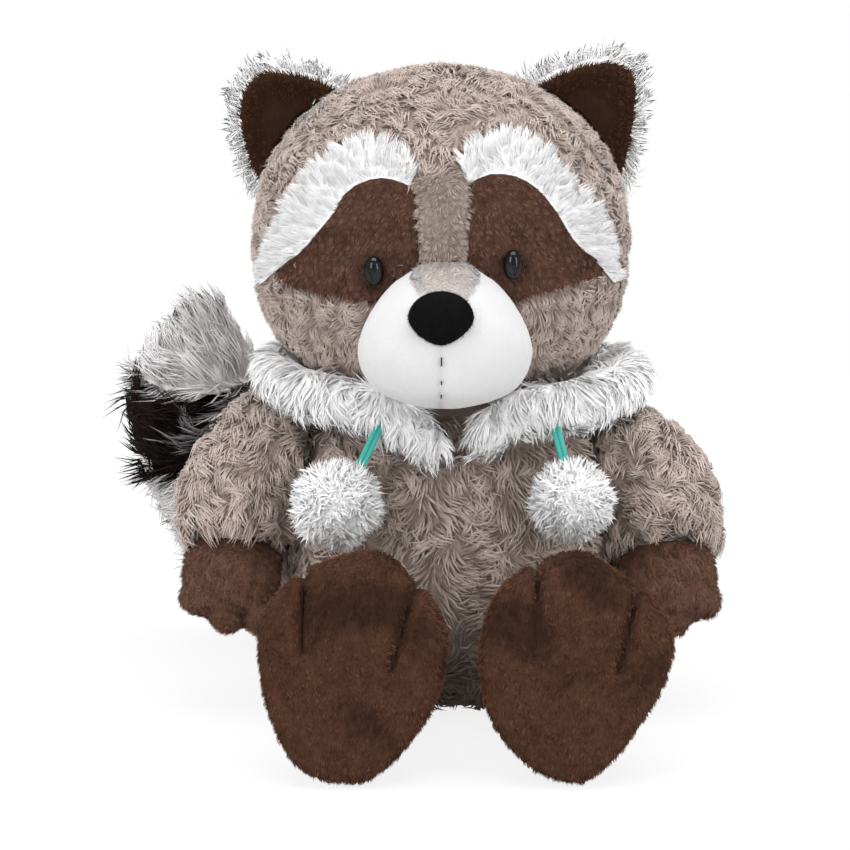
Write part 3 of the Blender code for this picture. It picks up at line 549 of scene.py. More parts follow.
@dataclass
class Skin:
    """A surface that a pile grows from: its points, triangles and the normals at its points."""

    points: Array
    faces: Array
    normals: Array
    open_faces: Array | None = None

    @classmethod
    def of_object(cls, item: bpy.types.Object) -> "Skin":
        """Read an object as the viewport evaluates it, and delete it.

        Args:
            item: An object whose place is in its mesh.

        Returns:
            The skin.
        """
        shown = item.evaluated_get(bpy.context.evaluated_depsgraph_get())
        mesh = shown.to_mesh()
        mesh.calc_loop_triangles()
        points = np.empty(len(mesh.vertices) * 3)
        mesh.vertices.foreach_get("co", points)
        faces = np.empty(len(mesh.loop_triangles) * 3, np.int32)
        mesh.loop_triangles.foreach_get("vertices", faces)
        shown.to_mesh_clear()
        bpy.data.objects.remove(item, do_unlink=True)
        return cls.of_arrays(points.reshape(-1, 3), faces.reshape(-1, 3))

    @classmethod
    def of_arrays(cls, points: Array, faces: Array) -> "Skin":
        """Work out the normals of points and triangles.

        Args:
            points: Corner places.
            faces: Corner numbers of each triangle.

        Returns:
            The skin.
        """
        a, b, c = (points[faces[:, corner]] for corner in range(3))
        across = np.cross(b - a, c - a)
        normals = np.zeros_like(points)
        for corner in range(3):
            np.add.at(normals, faces[:, corner], across)
        return cls(points, faces, unit(normals))

    @classmethod
    def under(cls, nodes: Sequence[str], voxel: float, sink: float, smooth: int = 6) -> "Skin":
        """A smooth closed skin just under the surface of some of the frame's solids.

        Args:
            nodes: The solids, which are joined.
            voxel: Fineness of the skin.
            sink: How far it lies under their surface.
            smooth: Rounds of smoothing.

        Returns:
            The skin.
        """
        mesh = bpy.data.meshes.new("skin")
        body = bmesh.new()
        for node in nodes:
            body.from_mesh(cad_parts[node].data)
        bmesh.ops.remove_doubles(body, verts=body.verts, dist=1e-6)
        body.to_mesh(mesh)
        body.free()
        item = bpy.data.objects.new("skin", mesh)
        bpy.context.scene.collection.objects.link(item)
        remesh = item.modifiers.new("remesh", "REMESH")
        remesh.mode = "VOXEL"
        remesh.voxel_size = voxel
        relax = item.modifiers.new("smooth", "SMOOTH")
        relax.factor = 0.5
        relax.iterations = smooth
        return cls.of_object(item).sunk(sink)

    @classmethod
    def copy_of(cls, node: str, toward: Point, sink: float) -> "Skin":
        """A thin sewn panel's own faces, moved down towards what it is sewn on.

        Args:
            node: The panel's solid.
            toward: Middle of the form that it lies on.
            sink: How far it moves.

        Returns:
            The skin, on which a pile grows only on the side that faces away.
        """
        body = bmesh.new()
        body.from_mesh(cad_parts[node].data)
        bmesh.ops.remove_doubles(body, verts=body.verts, dist=1e-6)
        bmesh.ops.triangulate(body, faces=body.faces)
        points, faces = read_out(body)
        points += unit(np.array(toward) - points) * sink
        skin = cls.of_arrays(points, faces)
        a, b, c = (points[faces[:, corner]] for corner in range(3))
        facing = unit(np.cross(b - a, c - a))
        outward = unit((a + b + c) / 3 - np.array(toward))
        skin.open_faces = np.sum(facing * outward, axis=1) > -0.3
        return skin

    @classmethod
    def ball(cls, centre: Array, half: Array,
             shape: Callable[[Array], Array] | None = None) -> "Skin":
        """A ball, squeezed to a size and shape.

        Args:
            centre: Its middle.
            half: Half of its size along each axis.
            shape: What is done to the points of the ball of radius 1 before that.

        Returns:
            The skin.
        """
        body = bmesh.new()
        bmesh.ops.create_icosphere(body, subdivisions=4, radius=1.0)
        points, faces = read_out(body)
        if shape:
            points = shape(points)
        return cls.of_arrays(points * half + centre, faces)

    def sunk(self, distance: float) -> "Skin":
        """The same skin, moved in by a distance."""
        return Skin.of_arrays(self.points - self.normals * distance, self.faces)

    def shaped(self, change: Callable[[Array, Array], Array]) -> "Skin":
        """The same skin with its points moved by a function of points and normals."""
        return Skin.of_arrays(change(self.points, self.normals), self.faces)

    def hollows(self, depth: float) -> Array:
        """How far each point lies in a crease.

        Args:
            depth: Depth under the mean of the points around that counts as a full crease.

        Returns:
            A number from 0 to 1 a point.
        """
        smooth = self.points
        for _ in range(5):
            total, number = np.zeros_like(smooth), np.zeros(len(smooth))
            for first, second in ((0, 1), (1, 2), (2, 0)):
                np.add.at(total, self.faces[:, first], smooth[self.faces[:, second]])
                np.add.at(number, self.faces[:, first], 1)
            smooth = total / np.maximum(number, 1)[:, None]
        sink = np.sum((smooth - self.points) * self.normals, axis=1)
        return np.clip(sink / depth, 0, 1)

    def between(self) -> Array:
        """How dark a coat's skin is: painted shade in front, lighter behind, where the fibres are fewer.
        """
        return 0.2 + 0.2 * behind(self.normals)

    def scatter(self, spacing: float, rng: np.random.Generator) -> tuple[Array, Array]:
        """Even random places on the skin.

        Args:
            spacing: Least distance between them, roughly.
            rng: Source of the random numbers.

        Returns:
            The places and the normals there.
        """
        faces = self.faces if self.open_faces is None else self.faces[self.open_faces]
        a, b, c = (self.points[faces[:, corner]] for corner in range(3))
        area = np.linalg.norm(np.cross(b - a, c - a), axis=1) / 2
        count = int(area.sum() / spacing ** 2 * 4.8)
        chosen = rng.choice(len(faces), size=count, p=area / area.sum())
        u, v = rng.random((2, count))
        over = u + v > 1
        u[over], v[over] = 1 - u[over], 1 - v[over]
        w = 1 - u - v
        corners = faces[chosen]
        weights = np.stack((w, u, v), axis=1)[:, :, None]
        points = np.sum(self.points[corners] * weights, axis=1)
        normals = unit(np.sum(self.normals[corners] * weights, axis=1))
        cells = np.floor(points @ TURNED / (spacing * 0.85)).astype(np.int64)
        _, first = np.unique(cells, axis=0, return_index=True)
        first.sort()
        share = 1 / np.abs(normals[first] @ TURNED).sum(axis=1)
        first = first[rng.random(len(first)) < share]
        return points[first], normals[first]


class Cover:
    """Solids that hide what is close behind them."""

    def __init__(self, nodes: Sequence[str]) -> None:
        """Read the solids of the frame that cover a piece.

        Args:
            nodes: Their names.
        """
        self.trees = []
        for node in nodes:
            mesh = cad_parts[node].data
            self.trees.append(BVHTree.FromPolygons([v.co[:] for v in mesh.vertices],
                                                   [p.vertices[:] for p in mesh.polygons]))

    def free(self, points: Array, normals: Array, reach: float) -> Array:
        """Which places have nothing over them.

        Args:
            points: The places.
            normals: The normals there.
            reach: How far over them to look.

        Returns:
            True where nothing is over a place.
        """
        result = np.ones(len(points), bool)
        for tree in self.trees:
            for index in np.flatnonzero(result):
                if tree.ray_cast(Vector(points[index]), Vector(normals[index]), reach)[0] is not None:
                    result[index] = False
        return result

    def beyond(self, points: Array, gap: float) -> Array:
        """Which places keep a gap to the surfaces of the solids.

        Args:
            points: The places.
            gap: Least distance to a surface, from either side of it.

        Returns:
            True where a place keeps the gap.
        """
        result = np.ones(len(points), bool)
        for tree in self.trees:
            for index in np.flatnonzero(result):
                if tree.find_nearest(Vector(points[index]), gap)[0] is not None:
                    result[index] = False
        return result

    def away(self, points: Array, gap: float) -> Array:
        """Which places keep a gap to the solids, and lie outside them.

        Args:
            points: The places.
            gap: Least distance to a surface.

        Returns:
            True where a place keeps the gap and is outside.
        """
        result = np.ones(len(points), bool)
        for tree in self.trees:
            for index in np.flatnonzero(result):
                point = Vector(points[index])
                spot, normal, _, distance = tree.find_nearest(point)
                if distance < gap or (point - spot).dot(normal) < 0:
                    result[index] = False
        return result


@dataclass(frozen=True)
class Pile:
    """How the fibres of one fabric stand.

    Lengths are in metres and angles in degrees. Thin is the share of the fibres that the back of
    the toy goes without; the rest are wider there. Soft is how much a fibre is shaded like the
    rounded clump that it lies in and not like a round strand.
    """

    spacing: float
    length: float
    width: float
    lift: float = 50.0
    droop: float = 0.7
    curl: float = 0.0
    spread: float = 15.0
    clump: float = 0.0
    pull: float = 0.5
    rings: int = 2
    uneven: float = 0.25
    flat: float = 0.7
    sink: float = 0.0004
    thin: float = 0.75
    soft: float = 0.65

    def coarser(self, times: float) -> "Pile":
        """The same pile with fewer and wider fibres."""
        return replace(self, spacing=self.spacing * times, width=self.width * times)


# How fast the streaks of a finish change over a skin along each axis, and the map of one triangle.
SKIN_GRAIN = (240.0, 240.0, 80.0)
LONE_TRIANGLE = np.array(((0.1, 0.1), (0.9, 0.1), (0.1, 0.9)))
# Least height over the floor of any point, and of a fibre's middle line.
FLOOR_GAP = 0.1 * MM
FIBRE_FLOOR_GAP = 0.6 * MM


@dataclass
class Soup:
    """Points and triangles of a piece, with the values that its finish reads."""

    points: list[Array] = field(default_factory=list)
    faces: list[Array] = field(default_factory=list)
    along: list[Array] = field(default_factory=list)
    tint: list[Array] = field(default_factory=list)
    mark: list[Array] = field(default_factory=list)
    fibre: list[Array] = field(default_factory=list)
    shading: list[Array] = field(default_factory=list)
    charts: list[tuple[Array, int]] = field(default_factory=list)
    count: int = 0

    def add(self, points: Array, faces: Array, along: Array, tint: Array, mark: Array,
            fibre: Array, shading: Array, chart: Array, cells: int) -> None:
        """Add one batch of triangles.

        Args:
            points: Corner places.
            faces: Corner numbers within the batch.
            along: Way from root to tip at each point.
            tint: Shade of the dye at each point.
            mark: Share of the finish's mark colour at each point.
            fibre: Coordinates that run with the fibre at each point.
            shading: Normal that each point is shaded with.
            chart: Flat map corners of each triangle within its cell.
            cells: Number of cells that the batch's map has.
        """
        self.points.append(points)
        self.faces.append(faces + self.count)
        for values, kept in ((along, self.along), (tint, self.tint), (mark, self.mark),
                             (fibre, self.fibre), (shading, self.shading)):
            kept.append(values.astype(np.float32))
        self.charts.append((chart, cells))
        self.count += len(points)

    @classmethod
    def over(cls, skin: Skin, mark: Array | float = 0.0, along: Array | float = 0.25) -> "Soup":
        """Start a piece with a skin's own triangles, each in a map cell of its own.

        Args:
            skin: The skin.
            mark: Share of the finish's mark colour at its points.
            along: Way from root to tip whose colour it takes, low values being painted shade.

        Returns:
            The piece.
        """
        size, cells = len(skin.points), len(skin.faces)
        soup = cls()
        soup.add(skin.points, skin.faces, np.full(size, along), np.full(size, 0.5),
                 np.broadcast_to(mark, size), skin.points * SKIN_GRAIN, skin.normals,
                 np.broadcast_to(LONE_TRIANGLE, (cells, 3, 2)), cells)
        return soup

    def mapped(self) -> Array:
        """Lay out every cell of the flat map in a square of its own.

        Returns:
            The map corners of every triangle.
        """
        total = sum(cells for _, cells in self.charts)
        side = math.ceil(math.sqrt(total))
        result, first = [], 0
        for chart, cells in self.charts:
            each = len(chart) // cells
            cell = first + np.repeat(np.arange(cells), each)
            corner = np.stack((cell % side, cell // side), axis=1)[:, None, :]
            result.append((chart + corner) / side)
            first += cells
        return np.concatenate(result)

    def build(self, name: str, finish: Finish, replaces: Sequence[str],
              fill: float | None = None) -> bpy.types.Object:
        """Make the piece and tie it to the frame.

        Args:
            name: The piece's name.
            finish: What dresses it.
            replaces: The frame's solids that it stands for.
            fill: How firmly it is stuffed, where it is padded; not used.

        Returns:
            The piece.
        """
        points = np.concatenate(self.points)
        points[:, 2] = np.maximum(points[:, 2], FLOOR_GAP)
        faces = np.concatenate(self.faces).astype(np.int32)
        mesh = bpy.data.meshes.new(name)
        mesh.vertices.add(len(points))
        mesh.vertices.foreach_set("co", points.astype(np.float32).ravel())
        mesh.loops.add(faces.size)
        mesh.loops.foreach_set("vertex_index", faces.ravel())
        mesh.polygons.add(len(faces))
        mesh.polygons.foreach_set("loop_start", np.arange(0, faces.size, 3, dtype=np.int32))
        mesh.polygons.foreach_set("use_smooth", np.full(len(faces), True))
        mesh.update(calc_edges=True)
        for key, values in (("along", self.along), ("tint", self.tint), ("mark", self.mark)):
            mesh.attributes.new(key, "FLOAT", "POINT").data.foreach_set("value", np.concatenate(values))
        stored = mesh.attributes.new("fibre", "FLOAT_VECTOR", "POINT")
        stored.data.foreach_set("vector", np.concatenate(self.fibre).ravel())
        mesh.uv_layers.new(name="OFBake").uv.foreach_set(
            "vector", self.mapped().astype(np.float32).ravel())
        mesh.normals_split_custom_set_from_vertices(np.concatenate(self.shading))
        mesh.materials.append(material_of(finish))
        piece = bpy.data.objects.new(name, mesh)
        bpy.context.scene.collection.objects.link(piece)
        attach(piece, BODY)
        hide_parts(*replaces)
        LOG.info("%s: %d triangles", name, len(faces))
        return piece


MADE: dict[str, bpy.types.Material] = {}


def material_of(finish: Finish) -> bpy.types.Material:
    """The finish's material, made once.

    Args:
        finish: The finish.

    Returns:
        Its material.
    """
    if finish.name not in MADE:
        MADE[finish.name] = finish.material()
    return MADE[finish.name]


# Width of a fibre at each of its rings as a share of the pile's width, and corners of a ring.
WIDTHS = {1: (0.9,), 2: (0.8, 0.9)}
CORNERS = 3


def strand_triangles(rings: int) -> tuple[Array, Array]:
    """The triangles of one fibre, and its flat map.

    Args:
        rings: Rings of corners under the tip.

    Returns:
        Corner numbers, and map corners in a square.
    """
    tip = rings * CORNERS
    faces, chart = [], []

    def spot(column: int, row: float) -> tuple[float, float]:
        """Map corner of a column and row."""
        return 0.08 + 0.84 * column / CORNERS, 0.2 + 0.74 * row / rings

    for row in range(rings - 1):
        for column in range(CORNERS):
            a, b = row * CORNERS + column, row * CORNERS + (column + 1) % CORNERS
            c, d = b + CORNERS, a + CORNERS
            faces += [(a, b, c), (a, c, d)]
            low_a, low_b = spot(column, row), spot(column + 1, row)
            high_a, high_b = spot(column, row + 1), spot(column + 1, row + 1)
            chart += [(low_a, low_b, high_b), (low_a, high_b, high_a)]
    last = tip - CORNERS
    for column in range(CORNERS):
        faces.append((last + column, last + (column + 1) % CORNERS, tip))
        middle = (spot(column, rings)[0] + spot(column + 1, rings)[0]) / 2
        chart.append((spot(column, rings - 1), spot(column + 1, rings - 1), (middle, 0.94)))
    faces.append((2, 1, 0))
    chart.append(((0.3, 0.14), (0.5, 0.02), (0.7, 0.14)))
    return np.array(faces), np.array(chart)


@dataclass
class Growth:
    """Roots of a pile, and how each fibre there differs from the pile's own shape."""

    roots: Array
    normals: Array
    headings: Array
    length: Array
    width: Array
    mark: Array

    def keep(self, which: Array) -> "Growth":
        """The same growth at some of its roots."""
        return Growth(self.roots[which], self.normals[which], self.headings[which],
                      self.length[which], self.width[which], self.mark[which])


def rooted(skin: Skin, pile: Pile, flow: Field, rng: np.random.Generator,
           cover: Cover | None = None, reach: float = 0.01) -> Growth:
    """Roots of a pile on a skin, combed along a flow.

    Args:
        skin: Where it grows.
        pile: The pile.
        flow: Way that it is combed, from places and normals.
        rng: Source of the random numbers.
        cover: Solids under which nothing grows.
        reach: How close over the skin they have to be.

    Returns:
        The growth.
    """
    roots, normals = skin.scatter(pile.spacing, rng)
    some = rng.random(len(roots)) >= pile.thin * behind(normals)
    roots, normals = roots[some], normals[some]
    if cover:
        free = cover.free(roots, normals, reach)
        roots, normals = roots[free], normals[free]
    wider = 1 / np.sqrt(1 - 0.9 * (pile.thin * behind(normals)))
    headings = flatten(flow(roots, normals), normals)
    return Growth(roots, normals, headings, np.ones(len(roots)), wider, np.zeros(len(roots)))


def clumped(roots: Array, normals: Array, size: float) -> tuple[Array, Array]:
    """Gather roots in clumps that depend on the place alone, so that two piles share them.

    Args:
        roots: The roots.
        normals: The normals there.
        size: Distance between clumps.

    Returns:
        Each root's offset from its clump's middle along the surface, and its clump's own eleven
        random numbers from 0 to 1.
    """
    cells = np.unique(np.floor(roots / size).astype(np.int64), axis=0)
    salts = np.arange(14) * 17.31
    luck = np.sin((cells @ (127.1, 311.7, 74.7))[:, None] + salts) * 43758.5453
    luck -= np.floor(luck)
    middles = (cells + 0.5 + (luck[:, 11:14] - 0.5) * 0.7) * size
    owner = nearest(middles, roots)
    offset = roots - middles[owner]
    offset -= normals * np.sum(offset * normals, axis=1, keepdims=True)
    return offset, luck[owner, :11]


def trimmed(growth: Growth, middle: Point, share: float) -> Growth:
    """Shorten a panel's pile where it grows sideways out of the rim.

    Args:
        growth: The panel's growth.
        middle: Middle of the form that the panel lies on.
        share: How much of its length is left there.

    Returns:
        The growth.
    """
    outward = unit(growth.roots - np.array(middle))
    facing = np.sum(outward * growth.normals, axis=1)
    growth.length *= share + (1 - share) * np.clip((facing - 0.2) / 0.6, 0, 1)
    return growth.keep(facing > 0.2)


@dataclass
class Luck:
    """What sets the fibres of a batch apart: what each clump shares, and what is a fibre's own."""

    offset: Array
    shared: Array
    uniform: Array
    own: Array

    @classmethod
    def drawn(cls, pile: Pile, growth: Growth, rng: np.random.Generator) -> "Luck":
        """Draw the random numbers of a batch.

        Args:
            pile: The pile.
            growth: Where it grows.
            rng: Source of the random numbers.

        Returns:
            The numbers, with a row for each fibre.
        """
        count = len(growth.roots)
        own = rng.normal(size=(count, 3))
        if not pile.clump:
            return cls(np.zeros((count, 3)), rng.normal(size=(count, 3)), rng.random((count, 2)), own)
        offset, luck = clumped(growth.roots, growth.normals, pile.clump)
        shared = (luck[:, :3] + luck[:, 3:6] + luck[:, 6:9] - 1.5) * 2.0
        return cls(offset, shared, luck[:, 9:11], own)


def strand_paths(pile: Pile, growth: Growth, luck: Luck) -> tuple[list[Array], Array]:
    """Lay out the middle line of every fibre.

    Args:
        pile: The pile.
        growth: Where and how it grows.
        luck: What sets the fibres apart.

    Returns:
        The places of all the fibres' roots, of each ring above them and of their tips, and the way
        along the surface that lies square to each fibre.
    """
    normals = growth.normals
    turn = np.radians(pile.spread) * (0.9 * luck.shared[:, 1] + 0.35 * luck.own[:, 1])
    curl = np.radians(pile.curl) * np.tanh(1.5 * luck.shared[:, 2] + 0.3 * luck.own[:, 2])
    lift = np.radians(pile.lift * (0.85 + 0.3 * luck.uniform[:, 1]))
    length = pile.length * growth.length * (1 + pile.uneven * (luck.uniform[:, 0] - 0.5) * 1.4
                                            + pile.uneven * 0.35 * luck.own[:, 2])
    length = np.maximum(length, pile.length * 0.25)
    heading = growth.headings
    side = np.cross(normals, heading)
    heading, side = (heading * np.cos(turn)[:, None] + side * np.sin(turn)[:, None],
                     side * np.cos(turn)[:, None] - heading * np.sin(turn)[:, None])
    place = growth.roots - normals * pile.sink
    path = [place]
    for step in range(pile.rings):
        part = (step + 0.5) / pile.rings if pile.rings > 1 else 0.0
        bend = curl * part
        rise = lift * (1 - part * (1 + pile.droop))
        way = (heading * (np.cos(rise) * np.cos(bend))[:, None]
               + side * (np.cos(rise) * np.sin(bend))[:, None] + normals * np.sin(rise)[:, None])
        place = place + way * (length / pile.rings)[:, None]
        place[:, 2] = np.maximum(place[:, 2], FIBRE_FLOOR_GAP)
        path.append(place - luck.offset * (pile.pull * (step + 1) / pile.rings))
    return path, side


def grow(soup: Soup, pile: Pile, growth: Growth, rng: np.random.Generator) -> None:
    """Grow a pile's fibres into a piece.

    Fibres of one clump share their heading, curl and length, and their tips draw together. They are
    shaded partly as one round clump whose edge is darker: painted shade between clumps.

    Args:
        soup: The piece.
        pile: The pile.
        growth: Where and how it grows.
        rng: Source of the random numbers.
    """
    luck = Luck.drawn(pile, growth, rng)
    path, side = strand_paths(pile, growth, luck)
    count, clump = len(growth.roots), pile.clump or 1.0
    bulge = unit(growth.normals + luck.offset * (1.1 / clump)) * pile.soft
    # Fibres near a clump's edge take more of the root colour: painted shade between clumps.
    edge = np.clip(np.linalg.norm(luck.offset, axis=1) / (0.62 * clump), 0, 1) ** 2
    thick = (growth.width * (0.8 + 0.4 * luck.uniform[:, 0]))[:, None]
    seed = rng.random((count, 1)) * 400.0
    along = np.empty(pile.rings * CORNERS + 1)
    points, fibre, shading = (np.empty((count, len(along), 3)) for _ in range(3))
    for ring in range(pile.rings):
        ahead = unit(path[ring + 1] - path[max(ring - 1, 0)])
        across = unit(side - ahead * np.sum(side * ahead, axis=1, keepdims=True))
        above = np.cross(ahead, across)
        half = pile.width / 2 * WIDTHS[pile.rings][ring] * thick
        for corner in range(CORNERS):
            angle = math.pi / 2 + math.tau * corner / CORNERS
            at = ring * CORNERS + corner
            points[:, at] = (path[ring] + across * half * math.cos(angle)
                             + above * half * pile.flat * math.sin(angle))
            strand = across * math.cos(angle) + above * math.sin(angle)
            shading[:, at] = unit(strand * (1 - pile.soft) + bulge * (1 - 0.7 * ring / pile.rings))
            fibre[:, at] = np.hstack((seed + math.cos(angle), seed * 0.7 + math.sin(angle),
                                      np.full((count, 1), 0.5 * ring / pile.rings)))
            along[at] = ring / pile.rings
    points[:, -1] = path[-1]
    shading[:, -1] = unit(above * (1 - pile.soft) + bulge * 0.3)
    fibre[:, -1] = np.hstack((seed, seed * 0.7, np.full((count, 1), 0.5)))
    along[-1] = 1.0
    faces, chart = strand_triangles(pile.rings)
    size = len(along)
    tint = np.clip(0.5 + 0.17 * luck.shared[:, 0] + 0.10 * luck.own[:, 0], 0, 1)
    soup.add(points.reshape(-1, 3),
             (faces[None] + (np.arange(count) * size)[:, None, None]).reshape(-1, 3),
             np.outer(1 - 0.45 * edge, along).ravel(), np.repeat(tint, size),
             np.repeat(growth.mark, size), fibre.reshape(-1, 3), shading.reshape(-1, 3),
             np.broadcast_to(chart, (count, *chart.shape)).reshape(-1, 3, 2), count)


def combed(direction: Point, wander: float = 0.0, size: float = 0.01, seed: int = 0) -> Field:
    """A flow along one direction that wanders.

    Args:
        direction: Where it goes.
        wander: Strength of the wandering.
        size: Distance over which it turns.
        seed: Which wandering.

    Returns:
        The flow.
    """
    def flow(points: Array, normals: Array) -> Array:
        """The direction, wandering."""
        return np.array(direction) + wander * swirl(points, size, seed)
    return flow


def away_from(points: Array, start: Array, end: Array) -> Array:
    """Distance of points from a straight line between two ends.

    Args:
        points: The points.
        start: One end.
        end: The other end.

    Returns:
        One distance a point.
    """
    line = end - start
    share = np.clip((points - start) @ line / (line @ line), 0, 1)
    return np.linalg.norm(points - start - share[:, None] * line, axis=1)


def middle_of(*nodes: str) -> Array:
    """Middle of the box round some of the frame's solids.

    Args:
        *nodes: Their names.

    Returns:
        The middle.
    """
    boxes = [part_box(node) for node in nodes]
    low = np.min([np.array(box[0]) for box in boxes], axis=0)
    high = np.max([np.array(box[1]) for box in boxes], axis=0)
    return (low + high) / 2


@dataclass
class Head:
    """The curly head, its face panels, muzzle, nose, eyes and ears."""

    middle: Point = (-0.004, -0.008, 0.1686)
    muzzle_middle: Point = (-0.003, -0.064, 0.1396)
    panel_sink: float = 1.9 * MM
    patch_gap: float = 2.4 * MM
    upper_patch_gap: float = 3.8 * MM
    bead_half: tuple[float, float, float] = (3.3 * MM, 5.1 * MM, 3.3 * MM)
    bead_tilt: float = math.radians(-25.0)
    bead_sunk: float = 1.7 * MM
    socket_radius: float = 4.5 * MM
    socket_width: float = 2.2 * MM
    ear_dish_radius: float = 17.0 * MM
    ear_dish: float = 3.0 * MM
    seam_depth: float = 0.9 * MM
    seam_half: float = 1.5 * MM
    seam_shade_half: float = 0.6 * MM
    top_half_width: float = 10.5 * MM
    thread_radius: float = 0.26 * MM
    stitch_ends: tuple[tuple[float, float], ...] = ((0.97, 0.83), (0.56, 0.50), (0.30, 0.24))
    curls: Pile = Pile(1.58 * MM, 6.6 * MM, 0.78 * MM, lift=74.0, droop=0.75, curl=40.0, spread=28.0,
                       clump=6.4 * MM, pull=0.5, rings=2, uneven=0.25)
    down: Pile = Pile(1.04 * MM, 5.0 * MM, 0.74 * MM, lift=32.0, spread=28.0, clump=6.4 * MM,
                      pull=0.4, rings=1, uneven=0.3)
    brow_pile: Pile = Pile(0.54 * MM, 4.0 * MM, 0.60 * MM, lift=34.0, spread=16.0,
                           clump=3.4 * MM, pull=0.35, rings=1, uneven=0.4, thin=0.0, soft=0.8)
    minky: Pile = Pile(0.60 * MM, 2.3 * MM, 0.52 * MM, lift=36.0, spread=18.0, clump=2.4 * MM,
                       pull=0.4, rings=1, soft=0.35)
    short: Pile = Pile(0.52 * MM, 2.6 * MM, 0.50 * MM, lift=38.0, spread=20.0,
                       clump=2.1 * MM, pull=0.4, rings=1, soft=0.4)
    top_pile: Pile = Pile(0.44 * MM, 2.2 * MM, 0.62 * MM, lift=22.0, spread=24.0, rings=1, soft=0.8,
                          sink=0.05 * MM)
    plush: Pile = Pile(1.9 * MM, 1.2 * MM, 0.40 * MM, lift=24.0, spread=24.0, rings=1, thin=0.95)
    velvet: Pile = Pile(0.68 * MM, 1.5 * MM, 0.34 * MM, lift=36.0, spread=24.0, rings=1, soft=0.2)
    fluff: Pile = Pile(0.90 * MM, 9.0 * MM, 0.70 * MM, lift=42.0, droop=0.4, curl=20.0, spread=18.0,
                       clump=3.0 * MM, pull=0.3, rings=2, thin=0.6, soft=0.0)

    def build(self) -> None:
        """Make every piece of the head."""
        self.coat()
        for side in Side:
            self.brow(side)
            self.eye_patch(side)
            self.eye(side)
            self.ear(side)
        self.bridge()
        self.muzzle()

    def coat(self) -> None:
        """The taupe curls over the crown, cheeks and nape."""
        rng = np.random.default_rng(11)
        skin = Skin.under(["head"], voxel=3.0 * MM, sink=1.7 * MM)
        cover = Cover(["brow_right", "brow_left", "muzzle", *FACE_PANELS])
        seat = Cover(["torso", "collar", "ear_back_right", "ear_back_left"])
        patches = Cover(["eye_patch_right", "eye_patch_left"])
        level = middle_of("eye_patch_right", "eye_patch_left")[2]

        def flow(points: Array, normals: Array) -> Array:
            """Down and away from the middle of the face, in whorls.

            Args:
                points: The places.
                normals: The normals there.

            Returns:
                One way a place.
            """
            outward = points - np.array(self.middle)
            outward[:, 1] = 0.0
            whorls = 0.7 * swirl(points, 0.028, 5) + 0.45 * swirl(points, 0.011, 6)
            return -UP + 0.35 * unit(outward) + whorls

        soup = Soup.over(skin, along=skin.between())
        for pile in (self.curls, self.down):
            growth = rooted(skin, pile, flow, rng, cover, reach=0.012)
            growth = growth.keep(seat.free(growth.roots, growth.normals, reach=0.005))
            growth = growth.keep(patches.beyond(growth.roots, self.patch_gap))
            low = growth.roots[:, 2] < level
            growth = growth.keep(patches.beyond(growth.roots, self.upper_patch_gap) | low)
            grow(soup, pile, growth, rng)
        soup.build("head_curls", TAUPE, ["head"], fill=0.8)

    def panel(self, name: str, node: str, finish: PileFinish, pile: Pile, flow: Field, seed: int,
              left: float, shade: Callable[[Array], Array] | None = None) -> None:
        """One sewn panel of the face.

        Args:
            name: The piece's name.
            node: The solid that it stands for.
            finish: What dresses it.
            pile: Its pile.
            flow: Way that the pile is combed.
            seed: Seed of its random numbers.
            left: Share of the pile's length that is left at the rim.
            shade: Share of the finish's mark colour at its roots.
        """
        rng = np.random.default_rng(seed)
        skin = Skin.copy_of(node, self.middle, self.panel_sink)
        growth = trimmed(rooted(skin, pile, flow, rng), self.middle, left)
        if shade:
            growth.mark = shade(growth.roots)
        soup = Soup.over(skin)
        grow(soup, pile, growth, rng)
        soup.build(name, finish, [node], fill=0.4)

    def brow(self, side: Side) -> None:
        """One white brow, its pile combed away from the eye.

        Args:
            side: Which brow.
        """
        node = f"brow_{side.value}"
        eye = middle_of(f"eye_{side.value}")

        def flow(points: Array, normals: Array) -> Array:
            """Away from the eye."""
            return unit(points - eye) + 0.25 * swirl(points, 0.012, 8)

        self.panel(f"{node}_fluff", node, WHITE, self.brow_pile, flow, 21 + side.sign, left=0.5)

    def eye_patch(self, side: Side) -> None:
        """One dark eye patch, its short pile combed down and out.

        Args:
            side: Which patch.
        """
        node = f"eye_patch_{side.value}"
        eye = middle_of(f"eye_{side.value}")

        def shade(roots: Array) -> Array:
            """A darker ring round the eye."""
            apart = np.linalg.norm(roots - eye, axis=1)
            return hump(apart - self.socket_radius, self.socket_width) * 0.8

        flow = combed((0.35 * side.sign, 0.0, -1.0), 0.35, 0.02, 9)
        self.panel(f"{node}_minky", node, BROWN_FACE, self.minky, flow, 31 + side.sign, 0.6, shade)

    def bridge(self) -> None:
        """The taupe strip between the eye patches."""
        centre = middle_of("nose_bridge")[0]

        def flow(points: Array, normals: Array) -> Array:
            """Down, parted along the middle of the strip."""
            lean = np.clip((points[:, 0] - centre) / 0.003, -1, 1) * 0.8
            return -UP + np.outer(lean, (1, 0, 0)) + 0.35 * swirl(points, 0.008, 3)

        self.panel("nose_bridge_pile", "nose_bridge", TAUPE_NAP, self.short, flow, 41, left=0.6)

